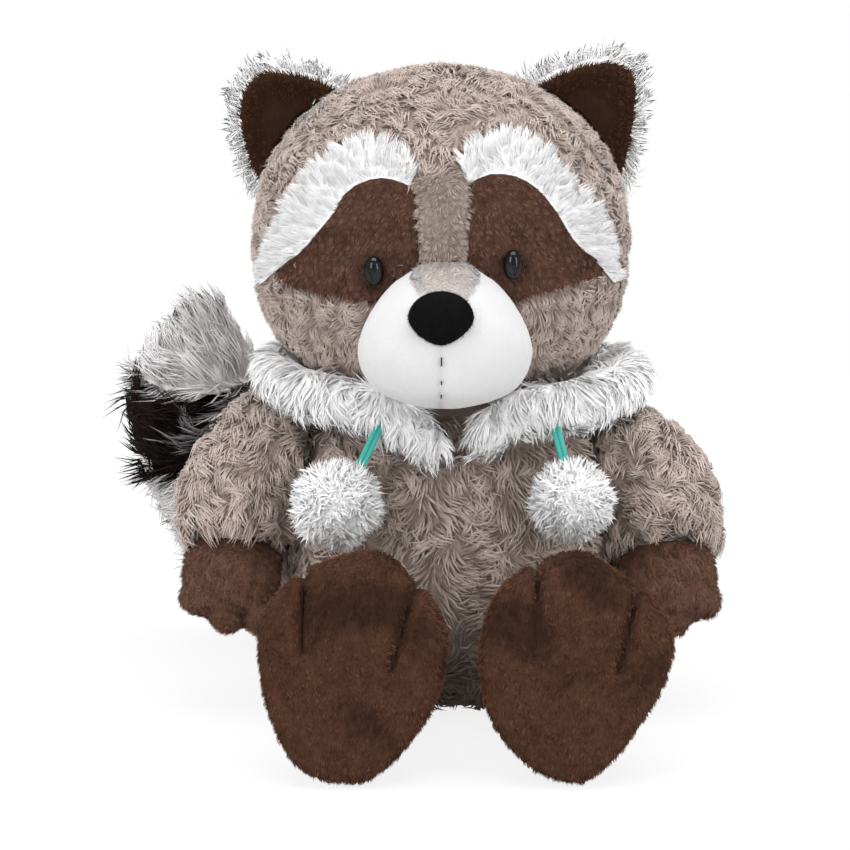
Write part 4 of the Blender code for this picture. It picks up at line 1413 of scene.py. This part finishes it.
    def eye(self, side: Side) -> None:
        """One polished bead eye, domed and smooth.

        Args:
            side: Which eye.
        """
        node = f"eye_{side.value}"
        points = np.array([vertex.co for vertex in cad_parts[node].data.vertices])
        axis = unit(points[np.argmin(points[:, 1])] - np.array(self.middle))
        front = points[(points @ axis) > (points @ axis).max() - 0.0038]
        centre = (front.min(axis=0) + front.max(axis=0)) / 2
        base = centre - axis * self.bead_sunk
        across = unit(np.cross(axis, UP))
        along = np.cross(across, axis)
        rings, sides = 12, 32
        width, height, depth = self.bead_half
        grid = []
        for tilt in np.linspace(self.bead_tilt, math.pi / 2, rings):
            for number in range(sides):
                turn = math.tau * number / sides
                spot = across * (width * math.cos(turn)) + along * (height * math.sin(turn))
                grid.append(base + spot * math.cos(tilt) + axis * (depth * math.sin(tilt)))
        points = np.array([*grid, base + axis * (depth * math.sin(self.bead_tilt))])
        faces = round_faces(rings, sides)
        faces += [((number + 1) % sides, number, len(points) - 1) for number in range(sides)]
        skin = Skin.of_arrays(points, np.array(faces))
        if np.sum((skin.points - base) * skin.normals) < 0:
            skin = Skin.of_arrays(points, np.array(faces)[:, ::-1])
        Soup.over(skin).build(f"{node}_bead", BeadFinish(), [node])
        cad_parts[f"eye_washer_{side.value}"].data.materials[0] = material_of(WASHER)

    def ear(self, side: Side) -> None:
        """One ear: a dark dished front against a long white back.

        Args:
            side: Which ear.
        """
        rng = np.random.default_rng(51 + side.sign)
        centre = middle_of(f"ear_front_{side.value}")
        root = np.array(self.middle)
        skull = Cover(["head"])

        def out(points: Array, normals: Array) -> Array:
            """From the ear's middle to its rim.

            Args:
                points: The places.
                normals: The normals there.

            Returns:
                One way a place.
            """
            away = points - centre
            away[:, 1] *= 0.3
            return unit(away) + 0.3 * unit(points - root)

        node = f"ear_front_{side.value}"
        front = Skin.under([node], voxel=1.0 * MM, sink=0.5 * MM, smooth=4)
        apart = np.linalg.norm((front.points - centre)[:, ::2], axis=1)
        dish = np.clip(1 - apart / self.ear_dish_radius, 0, 1) * (front.points[:, 1] < centre[1] + 0.001)
        front = front.shaped(lambda points, normals: points - np.outer(dish * self.ear_dish, AHEAD))
        soup = Soup.over(front, along=0.0)
        growth = rooted(front, self.minky, out, rng)
        growth = growth.keep(growth.normals[:, 1] < 0.5)
        growth.length *= np.where(growth.normals[:, 1] > -0.6, 1.5, 1.0)
        # The middle of the dish takes the darker mark colour: painted shade in its hollow.
        dish_shade = np.clip(1 - np.linalg.norm((growth.roots - centre)[:, ::2], axis=1) / 0.014, 0, 1)
        growth.mark = dish_shade * 0.7
        grow(soup, self.minky, growth, rng)
        soup.build(f"{node}_minky", BROWN, [node], fill=0.3)
        front_cover = Cover([node])
        node = f"ear_back_{side.value}"
        back = Skin.under([node], voxel=1.6 * MM, sink=0.3 * MM, smooth=4)
        soup = Soup.over(back, along=0.0)
        growth = rooted(back, self.fluff, out, rng, front_cover, reach=0.002)
        growth = growth.keep(skull.away(growth.roots, 0.0005))
        grow(soup, self.fluff, growth, rng)
        soup.build(f"{node}_fluff", LONG_WHITE, [node], fill=0.4)

    def muzzle(self) -> None:
        """The smooth white muzzle with its seam, the velvet nose, the taupe top and the stitches."""
        nose = middle_of("nose")
        skin = Skin.under(["muzzle"], voxel=1.9 * MM, sink=0.2 * MM, smooth=8)

        def seam(points: Array, normals: Array) -> Array:
            """Sink the seam that runs down from the nose.

            Args:
                points: The places.
                normals: The normals there.

            Returns:
                The places, moved.
            """
            front = (points[:, 1] < nose[1] + 0.02) & (points[:, 2] < nose[2])
            groove = hump(points[:, 0] - nose[0], self.seam_half) * front
            return points - normals * (groove * self.seam_depth)[:, None]

        shaped = skin.shaped(seam)
        # The seam groove takes the plush's shade colour: painted shade.
        groove = hump(skin.points[:, 0] - nose[0], self.seam_shade_half)
        groove *= (skin.points[:, 2] < nose[2] - 0.004) & (skin.normals[:, 1] < -0.1)
        soup = Soup.over(shaped, groove * 0.35, 0.0)
        rng = np.random.default_rng(62)
        growth = rooted(shaped, self.plush, combed((0, 0.2, -1), 0.5, 0.012, 21), rng,
                        Cover(["nose", "head", "collar", *FACE_PANELS]), reach=0.005)
        grow(soup, self.plush, growth.keep(growth.normals[:, 1] < 0.2), rng)
        soup.build("muzzle_plush", MUZZLE_PLUSH, ["muzzle"], fill=0.9)
        self.nose()
        self.muzzle_top(shaped)
        self.stitches()

    def nose(self) -> None:
        """The velvet nose: a soft pad, rounder above than below."""
        low, high = (np.array(corner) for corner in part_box("nose"))

        def tapered(points: Array) -> Array:
            """Narrow a ball towards its foot.

            Args:
                points: Its points, at a radius of 1.

            Returns:
                The points, moved.
            """
            below = np.clip(-points[:, 2], 0, 1)
            narrow = 1 - 0.30 * below ** 1.5
            return points * np.stack((narrow, np.ones(len(points)), np.ones(len(points))), axis=1)

        pad = Skin.ball((low + high) / 2, (high - low) / 2 * (0.96, 1.0, 0.96), tapered)
        soup = Soup.over(pad, along=0.0)
        rng = np.random.default_rng(63)
        growth = rooted(pad, self.velvet, combed((0, 0, -1), 0.6, 0.01, 23), rng)
        grow(soup, self.velvet, growth.keep(growth.normals[:, 1] < 0.15), rng)
        soup.build("nose_velvet_pad", NOSE_VELVET, ["nose"], fill=0.9)

    def muzzle_top(self, under: Skin) -> None:
        """The taupe pile over the nose, fading to white at its rim.

        Args:
            under: The muzzle's own skin, from which it grows.
        """
        rng = np.random.default_rng(61)
        middle = np.array(self.muzzle_middle)

        def rim(points: Array) -> Array:
            """How far points lie from the patch's middle, where 1 is its rim.

            Args:
                points: The points.

            Returns:
                One number a point.
            """
            apart = points - middle
            rise = np.degrees(np.arctan2(apart[:, 2], -apart[:, 1]))
            return np.hypot(apart[:, 0] / self.top_half_width, (rise - 62.0) / 36.0)

        growth = rooted(under, self.top_pile, combed((0, -1, 0.2), 0.3, 0.01, 4), rng,
                        Cover(["head", *FACE_PANELS]), reach=0.002)
        growth = growth.keep(rim(growth.roots) < 1.1)
        growth.mark = np.clip((rim(growth.roots) - 0.5) / 0.5, 0, 1)
        soup = Soup.over(Skin.copy_of("muzzle_top", self.muzzle_middle, 3.0 * MM), 0.5, 0.6)
        grow(soup, self.top_pile, growth, rng)
        soup.build("muzzle_top_pile", TAUPE_SHORT, ["muzzle_top"], fill=0.3)

    def stitches(self) -> None:
        """Dark thread stitches sunk in the seam under the nose."""
        low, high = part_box("mouth_stitch")
        tree = Cover(["muzzle"]).trees[0]
        x = (low[0] + high[0]) / 2
        soup = Soup()
        for upper, lower in self.stitch_ends:
            path = []
            for step in range(5):
                height = low[2] + (high[2] - low[2]) * (upper + (lower - upper) * step / 4)
                hit = tree.ray_cast(Vector((x, low[1] - 0.03, height)), Vector((0, 1, 0)))[0]
                sunk = 0.0006 if step in (0, 4) else 0.0001
                path.append((x, hit.y + sunk, height))
            tube(soup, path, self.thread_radius, 8)
        soup.build("mouth_stitches", THREAD, ["mouth_stitch"])


def tube(soup: Soup, path: Sequence[Point], radius: float, sides: int, mark: float = 0.0) -> None:
    """Add a round strand with flat ends along a path.

    Args:
        soup: The piece.
        path: Its middle.
        radius: Its radius.
        sides: Corners of each ring.
        mark: Share of the finish's mark colour.
    """
    line = np.array(path, float)
    ahead = unit(np.gradient(line, axis=0))
    reference = np.array((1.0, 0.15, 0.1))
    across = unit(reference - ahead * (ahead @ reference)[:, None])
    above = np.cross(ahead, across)
    steps = np.concatenate(([0.0], np.cumsum(np.linalg.norm(np.diff(line, axis=0), axis=1))))
    rings, fibre, outward = [], [], []
    for index, middle in enumerate(line):
        for number in range(sides):
            turn = math.tau * number / sides
            outward.append(across[index] * math.cos(turn) + above[index] * math.sin(turn))
            rings.append(middle + radius * outward[-1])
            fibre.append((math.cos(turn), math.sin(turn), steps[index] / (radius * 1.5)))
    faces = round_faces(len(line), sides)
    last = (len(line) - 1) * sides
    for number in range(1, sides - 1):
        faces += [(0, number + 1, number), (last, last + number, last + number + 1)]
    size = len(rings)
    soup.add(np.array(rings), np.array(faces), np.full(size, 0.8), np.full(size, 0.5),
             np.full(size, mark), np.array(fibre), np.array(outward),
             np.broadcast_to(LONE_TRIANGLE, (len(faces), 3, 2)), len(faces))


@dataclass
class Drawstring:
    """One doubled turquoise drawstring with the pompom on its end."""

    side: Side
    route: tuple[Point, ...]
    diameter: float = 3.4 * MM
    strand_radius: float = 0.88 * MM
    heart: float = 0.82
    down: Pile = Pile(0.98 * MM, 3.6 * MM, 1.05 * MM, lift=26.0, spread=180.0, rings=1, thin=0.0,
                      soft=0.9)
    spikes: Pile = Pile(0.98 * MM, 4.6 * MM, 0.85 * MM, lift=60.0, droop=-0.8, spread=180.0,
                        clump=2.6 * MM, pull=0.7, rings=2, uneven=0.35, thin=0.0, soft=0.85)

    def build(self) -> None:
        """Make the cord and its pompom."""
        pompom = self.pompom()
        line = self.smooth()
        ahead = unit(np.gradient(line, axis=0))
        across = unit(np.cross(ahead, AHEAD))
        soup = Soup()
        for sign in (-1, 1):
            tube(soup, line + across * (sign * self.strand_radius * 0.92), self.strand_radius, 12)
        name = f"drawstring_{self.side.value}"
        piece = soup.build(f"{name}_cord", TURQUOISE, [name])
        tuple(self.route[0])

    def smooth(self) -> Array:
        """The cord's middle, read from a smooth curve through its route.

        Returns:
            Points along it.
        """
        route = [np.array(point) for point in self.route]
        route = [2 * route[0] - route[1], *route, 2 * route[-1] - route[-2]]
        line = []
        for a, b, c, d in zip(route, route[1:], route[2:], route[3:]):
            for part in np.linspace(0, 1, 6, endpoint=False):
                line.append(0.5 * (2 * b + (c - a) * part + (2 * a - 5 * b + 4 * c - d) * part ** 2
                                   + (3 * b - a - 3 * c + d) * part ** 3))
        return np.array([*line, route[-2]])

    def pompom(self) -> bpy.types.Object:
        """The cut yarn pompom, its fibres standing out from a knotted heart.

        Returns:
            The pompom.
        """
        node = f"pompom_{self.side.value}"
        rng = np.random.default_rng(71 + self.side.sign)
        low, high = (np.array(corner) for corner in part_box(node))
        radius = float(max(high - low)) / 2
        skin = Skin.ball((low + high) / 2, np.full(3, radius * self.heart))
        soup = Soup.over(skin)
        for pile in (self.down, self.spikes):
            growth = rooted(skin, pile, lambda where, normals: swirl(where, 0.01, 12) + AHEAD, rng)
            growth.length *= radius / 0.0158 * (1 + 0.15 * swirl(growth.normals, 1.6, 13)[:, 0])
            grow(soup, pile, growth, rng)
        return soup.build(f"{node}_yarn", POMPOM, [node])


@dataclass
class Collar:
    """The fluffy hood collar."""

    pile: Pile = Pile(1.34 * MM, 8.0 * MM, 0.92 * MM, lift=30.0, droop=0.4, curl=26.0, spread=20.0,
                      clump=4.2 * MM, pull=0.4, rings=2, uneven=0.35, soft=0.88)
    down: Pile = Pile(1.14 * MM, 6.0 * MM, 0.94 * MM, lift=20.0, spread=20.0, clump=4.2 * MM,
                      pull=0.3, rings=1, uneven=0.3, soft=0.88)

    def build(self) -> None:
        """Make the collar, its pile combed down and out over the chest."""
        rng = np.random.default_rng(81)
        skin = Skin.under(["collar"], voxel=2.0 * MM, sink=1.0 * MM, smooth=5)
        cover = Cover(["head", "muzzle", "torso", "arm_right", "arm_left"])

        def flow(points: Array, normals: Array) -> Array:
            """Down and out."""
            return -UP + 0.25 * unit(points * (1, 1, 0)) + 0.4 * swirl(points, 0.02, 14)

        soup = Soup.over(skin)
        for pile in (self.pile, self.down):
            growth = rooted(skin, pile, flow, rng, cover, reach=0.0025)
            outward = np.sum(unit(growth.roots * (1, 1, 0)) * growth.normals, axis=1)
            grow(soup, pile, growth.keep((outward > -0.35) | (growth.normals[:, 2] > 0.6)), rng)
        soup.build("collar_fluff", LONG_WHITE, ["collar"], fill=0.5)


@dataclass
class Body:
    """The curly torso, sleeves and legs, and the dark paws and feet."""

    locks: Pile = Pile(1.50 * MM, 9.5 * MM, 0.92 * MM, lift=62.0, droop=0.75, curl=50.0, spread=34.0,
                       clump=6.4 * MM, pull=0.62, rings=2, uneven=0.3)
    down: Pile = Pile(1.40 * MM, 6.5 * MM, 0.95 * MM, lift=24.0, spread=34.0, clump=6.4 * MM,
                      pull=0.45, rings=1, uneven=0.35)
    rough: Pile = Pile(3.1 * MM, 10.0 * MM, 1.8 * MM, lift=55.0, droop=0.75, curl=50.0, spread=34.0,
                       clump=6.0 * MM, pull=0.6, rings=2, uneven=0.3)
    minky: Pile = Pile(0.77 * MM, 2.3 * MM, 0.54 * MM, lift=34.0, spread=18.0, clump=2.4 * MM,
                       pull=0.45, rings=1, thin=0.88, soft=0.25)
    # Height under which the front of the torso takes painted shade between the feet.
    lap_shade_top: float = 0.045
    foot_middle: float = 36.5 * MM
    sole_half: float = 33.0 * MM
    sole_height: float = 76.5 * MM
    sole_lean: float = math.radians(12.0)
    dart_above: float = 4.0 * MM
    dart_below: float = 23.0 * MM
    dart_width: float = 1.5 * MM
    dart_depth: float = 2.6 * MM
    dart_shade: float = 1.8 * MM
    dart_trim: float = 1.6 * MM
    dart_bare: float = 0.9 * MM
    lip_apart: float = 3.4 * MM
    lip_width: float = 1.6 * MM
    lip_rise: float = 0.5 * MM
    fold_radius: float = 0.50 * MM

    def build(self) -> None:
        """Make every piece of the body."""
        self.torso()
        for side in Side:
            self.sleeve(side)
            self.paw(side)
            self.leg(side)
            self.foot(side)

    def torso(self) -> None:
        """The curly torso, bare where it sits, with painted shade low on its front between the feet."""
        rng = np.random.default_rng(91)
        skin = Skin.under(["torso"], voxel=3.4 * MM, sink=1.8 * MM)
        near = Cover(["head", "arm_right", "arm_left", "leg_right", "leg_left", "tail_ring_1"])
        hood = Cover(["collar", "head"])
        soup = Soup.over(skin, along=skin.between())
        for pile in (self.locks.coarser(1.2), self.down.coarser(1.2)):
            growth = rooted(skin, pile, combed((0, -0.2, -1), 0.9, 0.03, 15), rng, near, reach=0.0023)
            growth = growth.keep(growth.normals[:, 2] > -0.7)
            growth = growth.keep(hood.free(growth.roots, growth.normals, reach=0.012))
            growth.length *= np.clip((growth.roots[:, 2] + 0.003) / 0.010, 0.35, 1.0)
            # Low on the front, between the feet, the fibres take the darker mark colour: painted shade.
            lap_shade = np.clip((self.lap_shade_top - growth.roots[:, 2]) / 0.03, 0, 1) * (growth.normals[:, 1] < 0)
            growth.mark = lap_shade * np.clip(1.6 - np.abs(growth.roots[:, 0] - 0.0035) / 0.02, 0, 1) * 0.9
            grow(soup, pile, growth, rng)
        soup.build("torso_curls", TAUPE, ["torso"], fill=0.8)

    def sleeve(self, side: Side) -> None:
        """One curly sleeve that hangs over its paw.

        Args:
            side: Which sleeve.
        """
        node = f"arm_{side.value}"
        rng = np.random.default_rng(101 + side.sign)
        skin = Skin.under([node], voxel=2.8 * MM, sink=1.6 * MM)
        near = Cover(["torso"])
        down = unit(middle_of(f"paw_{side.value}") - middle_of(node))
        flow = combed(tuple(down), 0.75, 0.026, 16)
        soup = Soup.over(skin, along=skin.between())
        for pile in (self.locks.coarser(0.87), self.down.coarser(0.87)):
            grow(soup, pile, rooted(skin, pile, flow, rng, near, reach=0.0021), rng)
        soup.build(f"sleeve_{side.value}_curls", TAUPE, [node], fill=0.7)

    def paw(self, side: Side) -> None:
        """One dark paw with soft creases between its fingers, painted darker as shade.

        Args:
            side: Which paw.
        """
        node = f"paw_{side.value}"
        rng = np.random.default_rng(111 + side.sign)
        skin = Skin.under([node], voxel=1.2 * MM, sink=1.0 * MM, smooth=5)
        flow = combed((0.2 * side.sign, -0.3, -1), 0.4, 0.018, 17)
        # Creases take the darker mark colour, on the skin and on the pile: painted shade.
        crease = skin.hollows(depth=0.35 * MM)
        soup = Soup.over(skin, crease, 0.35)
        growth = rooted(skin, self.minky, flow, rng, Cover([f"arm_{side.value}"]), reach=0.003)
        growth.mark = crease[nearest(skin.points, growth.roots)] * 0.6
        growth.length *= 1 - 0.5 * growth.mark
        grow(soup, self.minky, growth, rng)
        soup.build(f"{node}_minky", BROWN_FACE, [node], fill=0.8)

    def leg(self, side: Side) -> None:
        """One curly leg behind its foot.

        Args:
            side: Which leg.
        """
        node = f"leg_{side.value}"
        rng = np.random.default_rng(121 + side.sign)
        skin = Skin.under([node], voxel=3.6 * MM, sink=1.8 * MM)
        near = Cover(["torso", f"foot_{side.value}"])
        growth = rooted(skin, self.rough, combed((0, -0.6, -1), 0.7, 0.03, 18), rng, near, reach=0.006)
        growth.length *= np.clip((growth.roots[:, 2] + 0.002) / 0.010, 0.35, 1.0)
        soup = Soup.over(skin)
        grow(soup, self.rough, growth, rng)
        soup.build(f"{node}_curls", TAUPE, [node], fill=0.7)

    def darts(self, side: Side) -> list[tuple[Array, Array]]:
        """Ends of the two sewn darts at the top of one sole.

        Args:
            side: Which foot.

        Returns:
            The upper and lower end of each dart.
        """
        shares = {Side.RIGHT: ((-0.50, 0.88, 0.0), (0.57, 0.79, 16.0)),
                  Side.LEFT: ((-0.40, 0.90, 0.0), (0.57, 0.79, 14.0))}[side]
        heel = np.array((0.0035 + self.foot_middle * side.sign, -0.128, 0.0))
        rise = np.array((0.0, math.sin(self.sole_lean), math.cos(self.sole_lean)))
        ends = []
        for across, along, turn in shares:
            top = heel + np.array((across * self.sole_half, 0, 0)) + rise * (self.sole_height * along)
            angle = math.radians(turn)
            down = np.array((-math.sin(angle), 0, 0)) - rise * math.cos(angle)
            ends.append((top - down * self.dart_above, top + down * self.dart_below))
        return ends

    def foot(self, side: Side) -> None:
        """One dark foot and sole, the nap darker in patches and high up, with painted shade in its darts.

        Args:
            side: Which foot.
        """
        nodes = [f"foot_{side.value}", f"sole_{side.value}"]
        rng = np.random.default_rng(131 + side.sign)
        skin = Skin.under(nodes, voxel=1.8 * MM, sink=0.9 * MM, smooth=5)
        face = np.array((0.0, -math.cos(self.sole_lean), math.sin(self.sole_lean)))
        ends = [[end - face * (end @ face) for end in pair] for pair in self.darts(side)]

        def apart(points: Array, normals: Array) -> Array:
            """Distance from the nearest dart, seen square to the sole.

            Args:
                points: The places.
                normals: The normals there.

            Returns:
                One distance a place.
            """
            flat = points - np.outer(points @ face, face)
            off = np.min([away_from(flat, *pair) for pair in ends], axis=0)
            return off + 0.010 * np.clip(-0.2 - normals @ face, 0, 1)

        def darker_nap(points: Array, normals: Array) -> Array:
            """How much darker the nap is: in patches, and most of all high on the sole, except where it
            faces up.

            Args:
                points: The places.
                normals: The normals there.

            Returns:
                A number from 0 to 1 a place.
            """
            high = np.clip((points[:, 2] - 0.046) / 0.012, 0, 1) * np.clip(1.3 - normals[:, 2] * 2, 0, 1)
            drift = swirl(points, 0.030, 22)[:, 0]
            fine = swirl(points, 0.010, 23)[:, 0] + swirl(points, 0.003, 24)[:, 0]
            share = high * (0.6 + 0.5 * drift) + 0.5 * (drift - 0.25) + 0.22 * fine
            return np.clip((share - 0.1) / 0.8, 0, 1) * 0.7

        gap = apart(skin.points, skin.normals)
        lip = hump(gap - self.lip_apart, self.lip_width) * self.lip_rise
        carve = hump(gap, self.dart_width) * self.dart_depth - lip
        # The darts take the darker mark colour as painted shade; elsewhere the nap is darker in patches
        # and high up.
        mark = np.maximum(hump(gap, self.dart_shade), darker_nap(skin.points, skin.normals))
        skin = skin.shaped(lambda points, normals: points - normals * carve[:, None])
        soup = Soup.over(skin, mark)
        tree = Cover([nodes[1]]).trees[0]
        # A thin fold runs down each dart, wholly in the dark mark colour: painted shade in its crease.
        for top, low in self.darts(side):
            spots = [top + (low - top) * share + face * 0.03 for share in np.linspace(0.22, 0.97, 12)]
            hits = [tree.ray_cast(Vector(spot), Vector(-face))[0] for spot in spots]
            fold = [tuple(np.array(hit) - face * 0.0006) for hit in hits if hit is not None]
            tube(soup, fold, self.fold_radius, 6, mark=1.0)
        flow = combed((0, 0, -1), 0.5, 0.035, 19)
        growth = rooted(skin, self.minky, flow, rng, Cover([f"leg_{side.value}"]), reach=0.004)
        growth = growth.keep((growth.roots[:, 2] > 0.0012)
                             & (apart(growth.roots, growth.normals) > self.dart_bare))
        gap = apart(growth.roots, growth.normals)
        growth.mark = darker_nap(growth.roots, growth.normals)
        growth.length *= 1 - 0.6 * hump(gap, self.dart_trim)
        grow(soup, self.minky, growth, rng)
        soup.build(f"foot_{side.value}_minky", BROWN, nodes, fill=0.85)


@dataclass
class Tail:
    """The ringed tail of long straight pile.

    The pile fans out from the inside of the tail's bend, which lies at bend from the tip's middle.
    """

    pile: Pile = Pile(2.05 * MM, 13.5 * MM, 0.95 * MM, lift=36.0, droop=0.4, curl=20.0, spread=16.0,
                      clump=5.0 * MM, pull=0.6, rings=2, uneven=0.4, thin=0.3, soft=0.2)
    down: Pile = Pile(1.7 * MM, 9.5 * MM, 1.0 * MM, lift=20.0, spread=16.0, clump=5.0 * MM,
                      pull=0.35, rings=1, uneven=0.3, thin=0.3, soft=0.3)
    rings: tuple[str, ...] = ("tail_ring_1", "tail_ring_2", "tail_ring_3", "tail_ring_4", "tail_tip")
    dark_rings: tuple[str, ...] = ("tail_ring_2", "tail_ring_4")
    streak_start: Point = (-0.070, 0.0, 0.102)
    streak_end: Point = (-0.095, 0.0, 0.084)
    streak_half: float = 4.5 * MM
    bend: Point = (0.028, 0.0, -0.024)

    def build(self) -> None:
        """Make the tail's rings from its root to its tip."""
        middles = [middle_of(name) for name in self.rings]
        base = middles[-1] + self.bend
        for number, name in enumerate(self.rings):
            ahead = unit(middles[min(number + 1, 4)] - middles[max(number - 1, 0)])

            def flow(points: Array, normals: Array) -> Array:
                """Out from the inside of the tail's bend, and on towards its tip."""
                return 0.35 * ahead + unit(points - base) + 0.2 * swirl(points, 0.02, 20)

            self.ring(name, flow, 141 + number)

    def ring(self, name: str, flow: Field, seed: int) -> None:
        """One sewn ring of the tail.

        Args:
            name: The solid that it stands for.
            flow: Way that its pile is combed.
            seed: Seed of its random numbers.
        """
        rng = np.random.default_rng(seed)
        skin = Skin.under([name], voxel=2.6 * MM, sink=2.4 * MM)
        beside = Cover([other for other in self.rings if other != name] + ["torso"])
        dark = name in self.dark_rings
        soup = Soup.over(skin, along=0.3)
        for pile in (self.pile, self.down):
            growth = rooted(skin, pile, flow, rng, beside, reach=0.003)
            if dark:
                growth.mark = self.streak(growth, rng)
            grow(soup, pile, growth, rng)
        soup.build(f"{name}_fur", BLACK if dark else GREY, [name], fill=0.6)

    def streak(self, growth: Growth, rng: np.random.Generator) -> Array:
        """The grey streak across the front of the black ring.

        Args:
            growth: The ring's growth.
            rng: Source of the random numbers.

        Returns:
            Share of grey at each root.
        """
        apart = away_from(growth.roots * (1, 0, 1), np.array(self.streak_start), np.array(self.streak_end))
        near = (apart < self.streak_half) & (growth.normals[:, 1] < 0.2)
        return np.where(near, rng.random(len(apart)) ** 0.5 * 0.8, 0.0)


@dataclass
class Studio:
    """Camera, lamps, floor and backdrop.

    The lens is as long as 3056 pixels of the photograph, which is 850 pixels wide.
    """

    target: Point = (-0.0097, 0.0, 0.0968)
    distance: float = 1.1
    elevation: float = 10.0
    lens: float = 36 * 3056 / 850
    sensor: float = 36.0
    floor_reach: float = 6.0

    def camera(self) -> None:
        """The camera at the photograph's angle."""
        data = bpy.data.cameras.new("camera")
        data.sensor_width = self.sensor
        data.lens = self.lens
        camera = bpy.data.objects.new("camera", data)
        tilt = math.radians(self.elevation)
        offset = Vector((0, -math.cos(tilt), math.sin(tilt))) * self.distance
        camera.location = Vector(self.target) + offset
        camera.rotation_euler = (math.radians(90 - self.elevation), 0, 0)
        bpy.context.scene.collection.objects.link(camera)
        bpy.context.scene.camera = camera

    def lamp(self, name: str, place: Point, size: tuple[float, float], power: float) -> None:
        """One soft rectangular lamp that faces the toy.

        Args:
            name: Its name.
            place: Where it stands.
            size: Its width and height.
            power: Its power in watts.
        """
        data = bpy.data.lights.new(name, "AREA")
        data.shape = "RECTANGLE"
        data.size, data.size_y = size
        data.energy = power
        lamp = bpy.data.objects.new(name, data)
        lamp.location = place
        lamp.rotation_euler = (Vector(self.target) - Vector(place)).to_track_quat("-Z", "Y").to_euler()
        bpy.context.scene.collection.objects.link(lamp)

    def lamps(self) -> None:
        """A soft front light from each side and a broad one from above."""
        self.lamp("front_left", (-0.9, -1.2, 0.75), (0.5, 0.9), 6.5)
        self.lamp("front_right", (1.0, -1.1, 0.6), (0.4, 0.9), 4.8)
        self.lamp("above", (0.0, -0.25, 1.5), (1.4, 1.0), 14.0)

    def world(self) -> None:
        """An even pale light all round, seen as white and dimmer in reflections."""
        world = bpy.data.worlds.new("studio")
        world.use_nodes = True
        tree = Tree(world.node_tree)
        back = tree.nodes["Background"].inputs
        path = tree.node("ShaderNodeLightPath").outputs
        tree.feed(back["Color"], (1.0, 1.0, 1.0))
        tree.feed(back["Strength"], 1.0 - Wire(tree, path["Is Glossy Ray"]) * 0.7)
        bpy.context.scene.world = world

    def floor(self) -> None:
        """A pale floor that keeps the toy's soft shadow."""
        graph = Graph("studio_floor", roughness=0.9)
        grain = graph.noise(graph.place(), 60.0, 3.0)
        path = graph.node("ShaderNodeLightPath").outputs
        dimmed = 1.0 - Wire(graph, path["Is Glossy Ray"]) * 0.6
        graph.surface(graph.mix(grain, (0.86, 0.86, 0.86), (0.88, 0.88, 0.88)) * dimmed, 0.9)
        glow = graph.node("ShaderNodeEmission", None, {"Color": (1.0, 1.0, 1.0), "Strength": 1.0})
        apart = graph.node("ShaderNodeVectorMath", {"operation": "LENGTH"}, {0: graph.place()})
        fade = Wire(graph, apart.outputs["Value"]).ramp(0.35, 1.6, 0.84, 1.0)
        both = graph.node("ShaderNodeMixShader", None, {
            0: Wire(graph, path["Is Camera Ray"]) * fade,
            1: Wire(graph, graph.shader.outputs[0]), 2: Wire(graph, glow.outputs[0])})
        graph.feed(graph.nodes["Material Output"].inputs["Surface"], Wire(graph, both.outputs[0]))
        mesh = bpy.data.meshes.new("floor")
        reach = self.floor_reach
        mesh.from_pydata([(-reach, -reach, 0), (reach, -reach, 0), (reach, reach, 0), (-reach, reach, 0)],
                         [], [(0, 1, 2, 3)])
        mesh.materials.append(graph.material)
        floor = bpy.data.objects.new("floor", mesh)
        bpy.context.scene.collection.objects.link(floor)

    def build(self) -> None:
        """Set the whole studio up."""
        self.camera()
        self.lamps()
        self.world()
        self.floor()
        bpy.context.scene.view_settings.view_transform = "Standard"


RIGHT_ROUTE = ((-0.0225, -0.0490, 0.1100), (-0.0245, -0.0500, 0.1065), (-0.0270, -0.0520, 0.1020),
               (-0.0295, -0.0550, 0.0970), (-0.0325, -0.0575, 0.0915), (-0.0375, -0.0590, 0.0835))
LEFT_ROUTE = ((0.0345, -0.0420, 0.1125), (0.0348, -0.0435, 0.1080), (0.0355, -0.0465, 0.1035),
              (0.0368, -0.0510, 0.0985), (0.0382, -0.0545, 0.0930), (0.0398, -0.0570, 0.0850))


def main() -> None:
    """Set up the studio and dress the toy, piece by piece."""
    logging.basicConfig(level=logging.INFO, format="%(name)s: %(message)s", stream=sys.stdout)
    Studio().build()
    Drawstring(Side.RIGHT, RIGHT_ROUTE).build()
    Drawstring(Side.LEFT, LEFT_ROUTE).build()
    Head().build()
    Collar().build()
    Body().build()
    Tail().build()


if __name__ == "__main__":
    main()
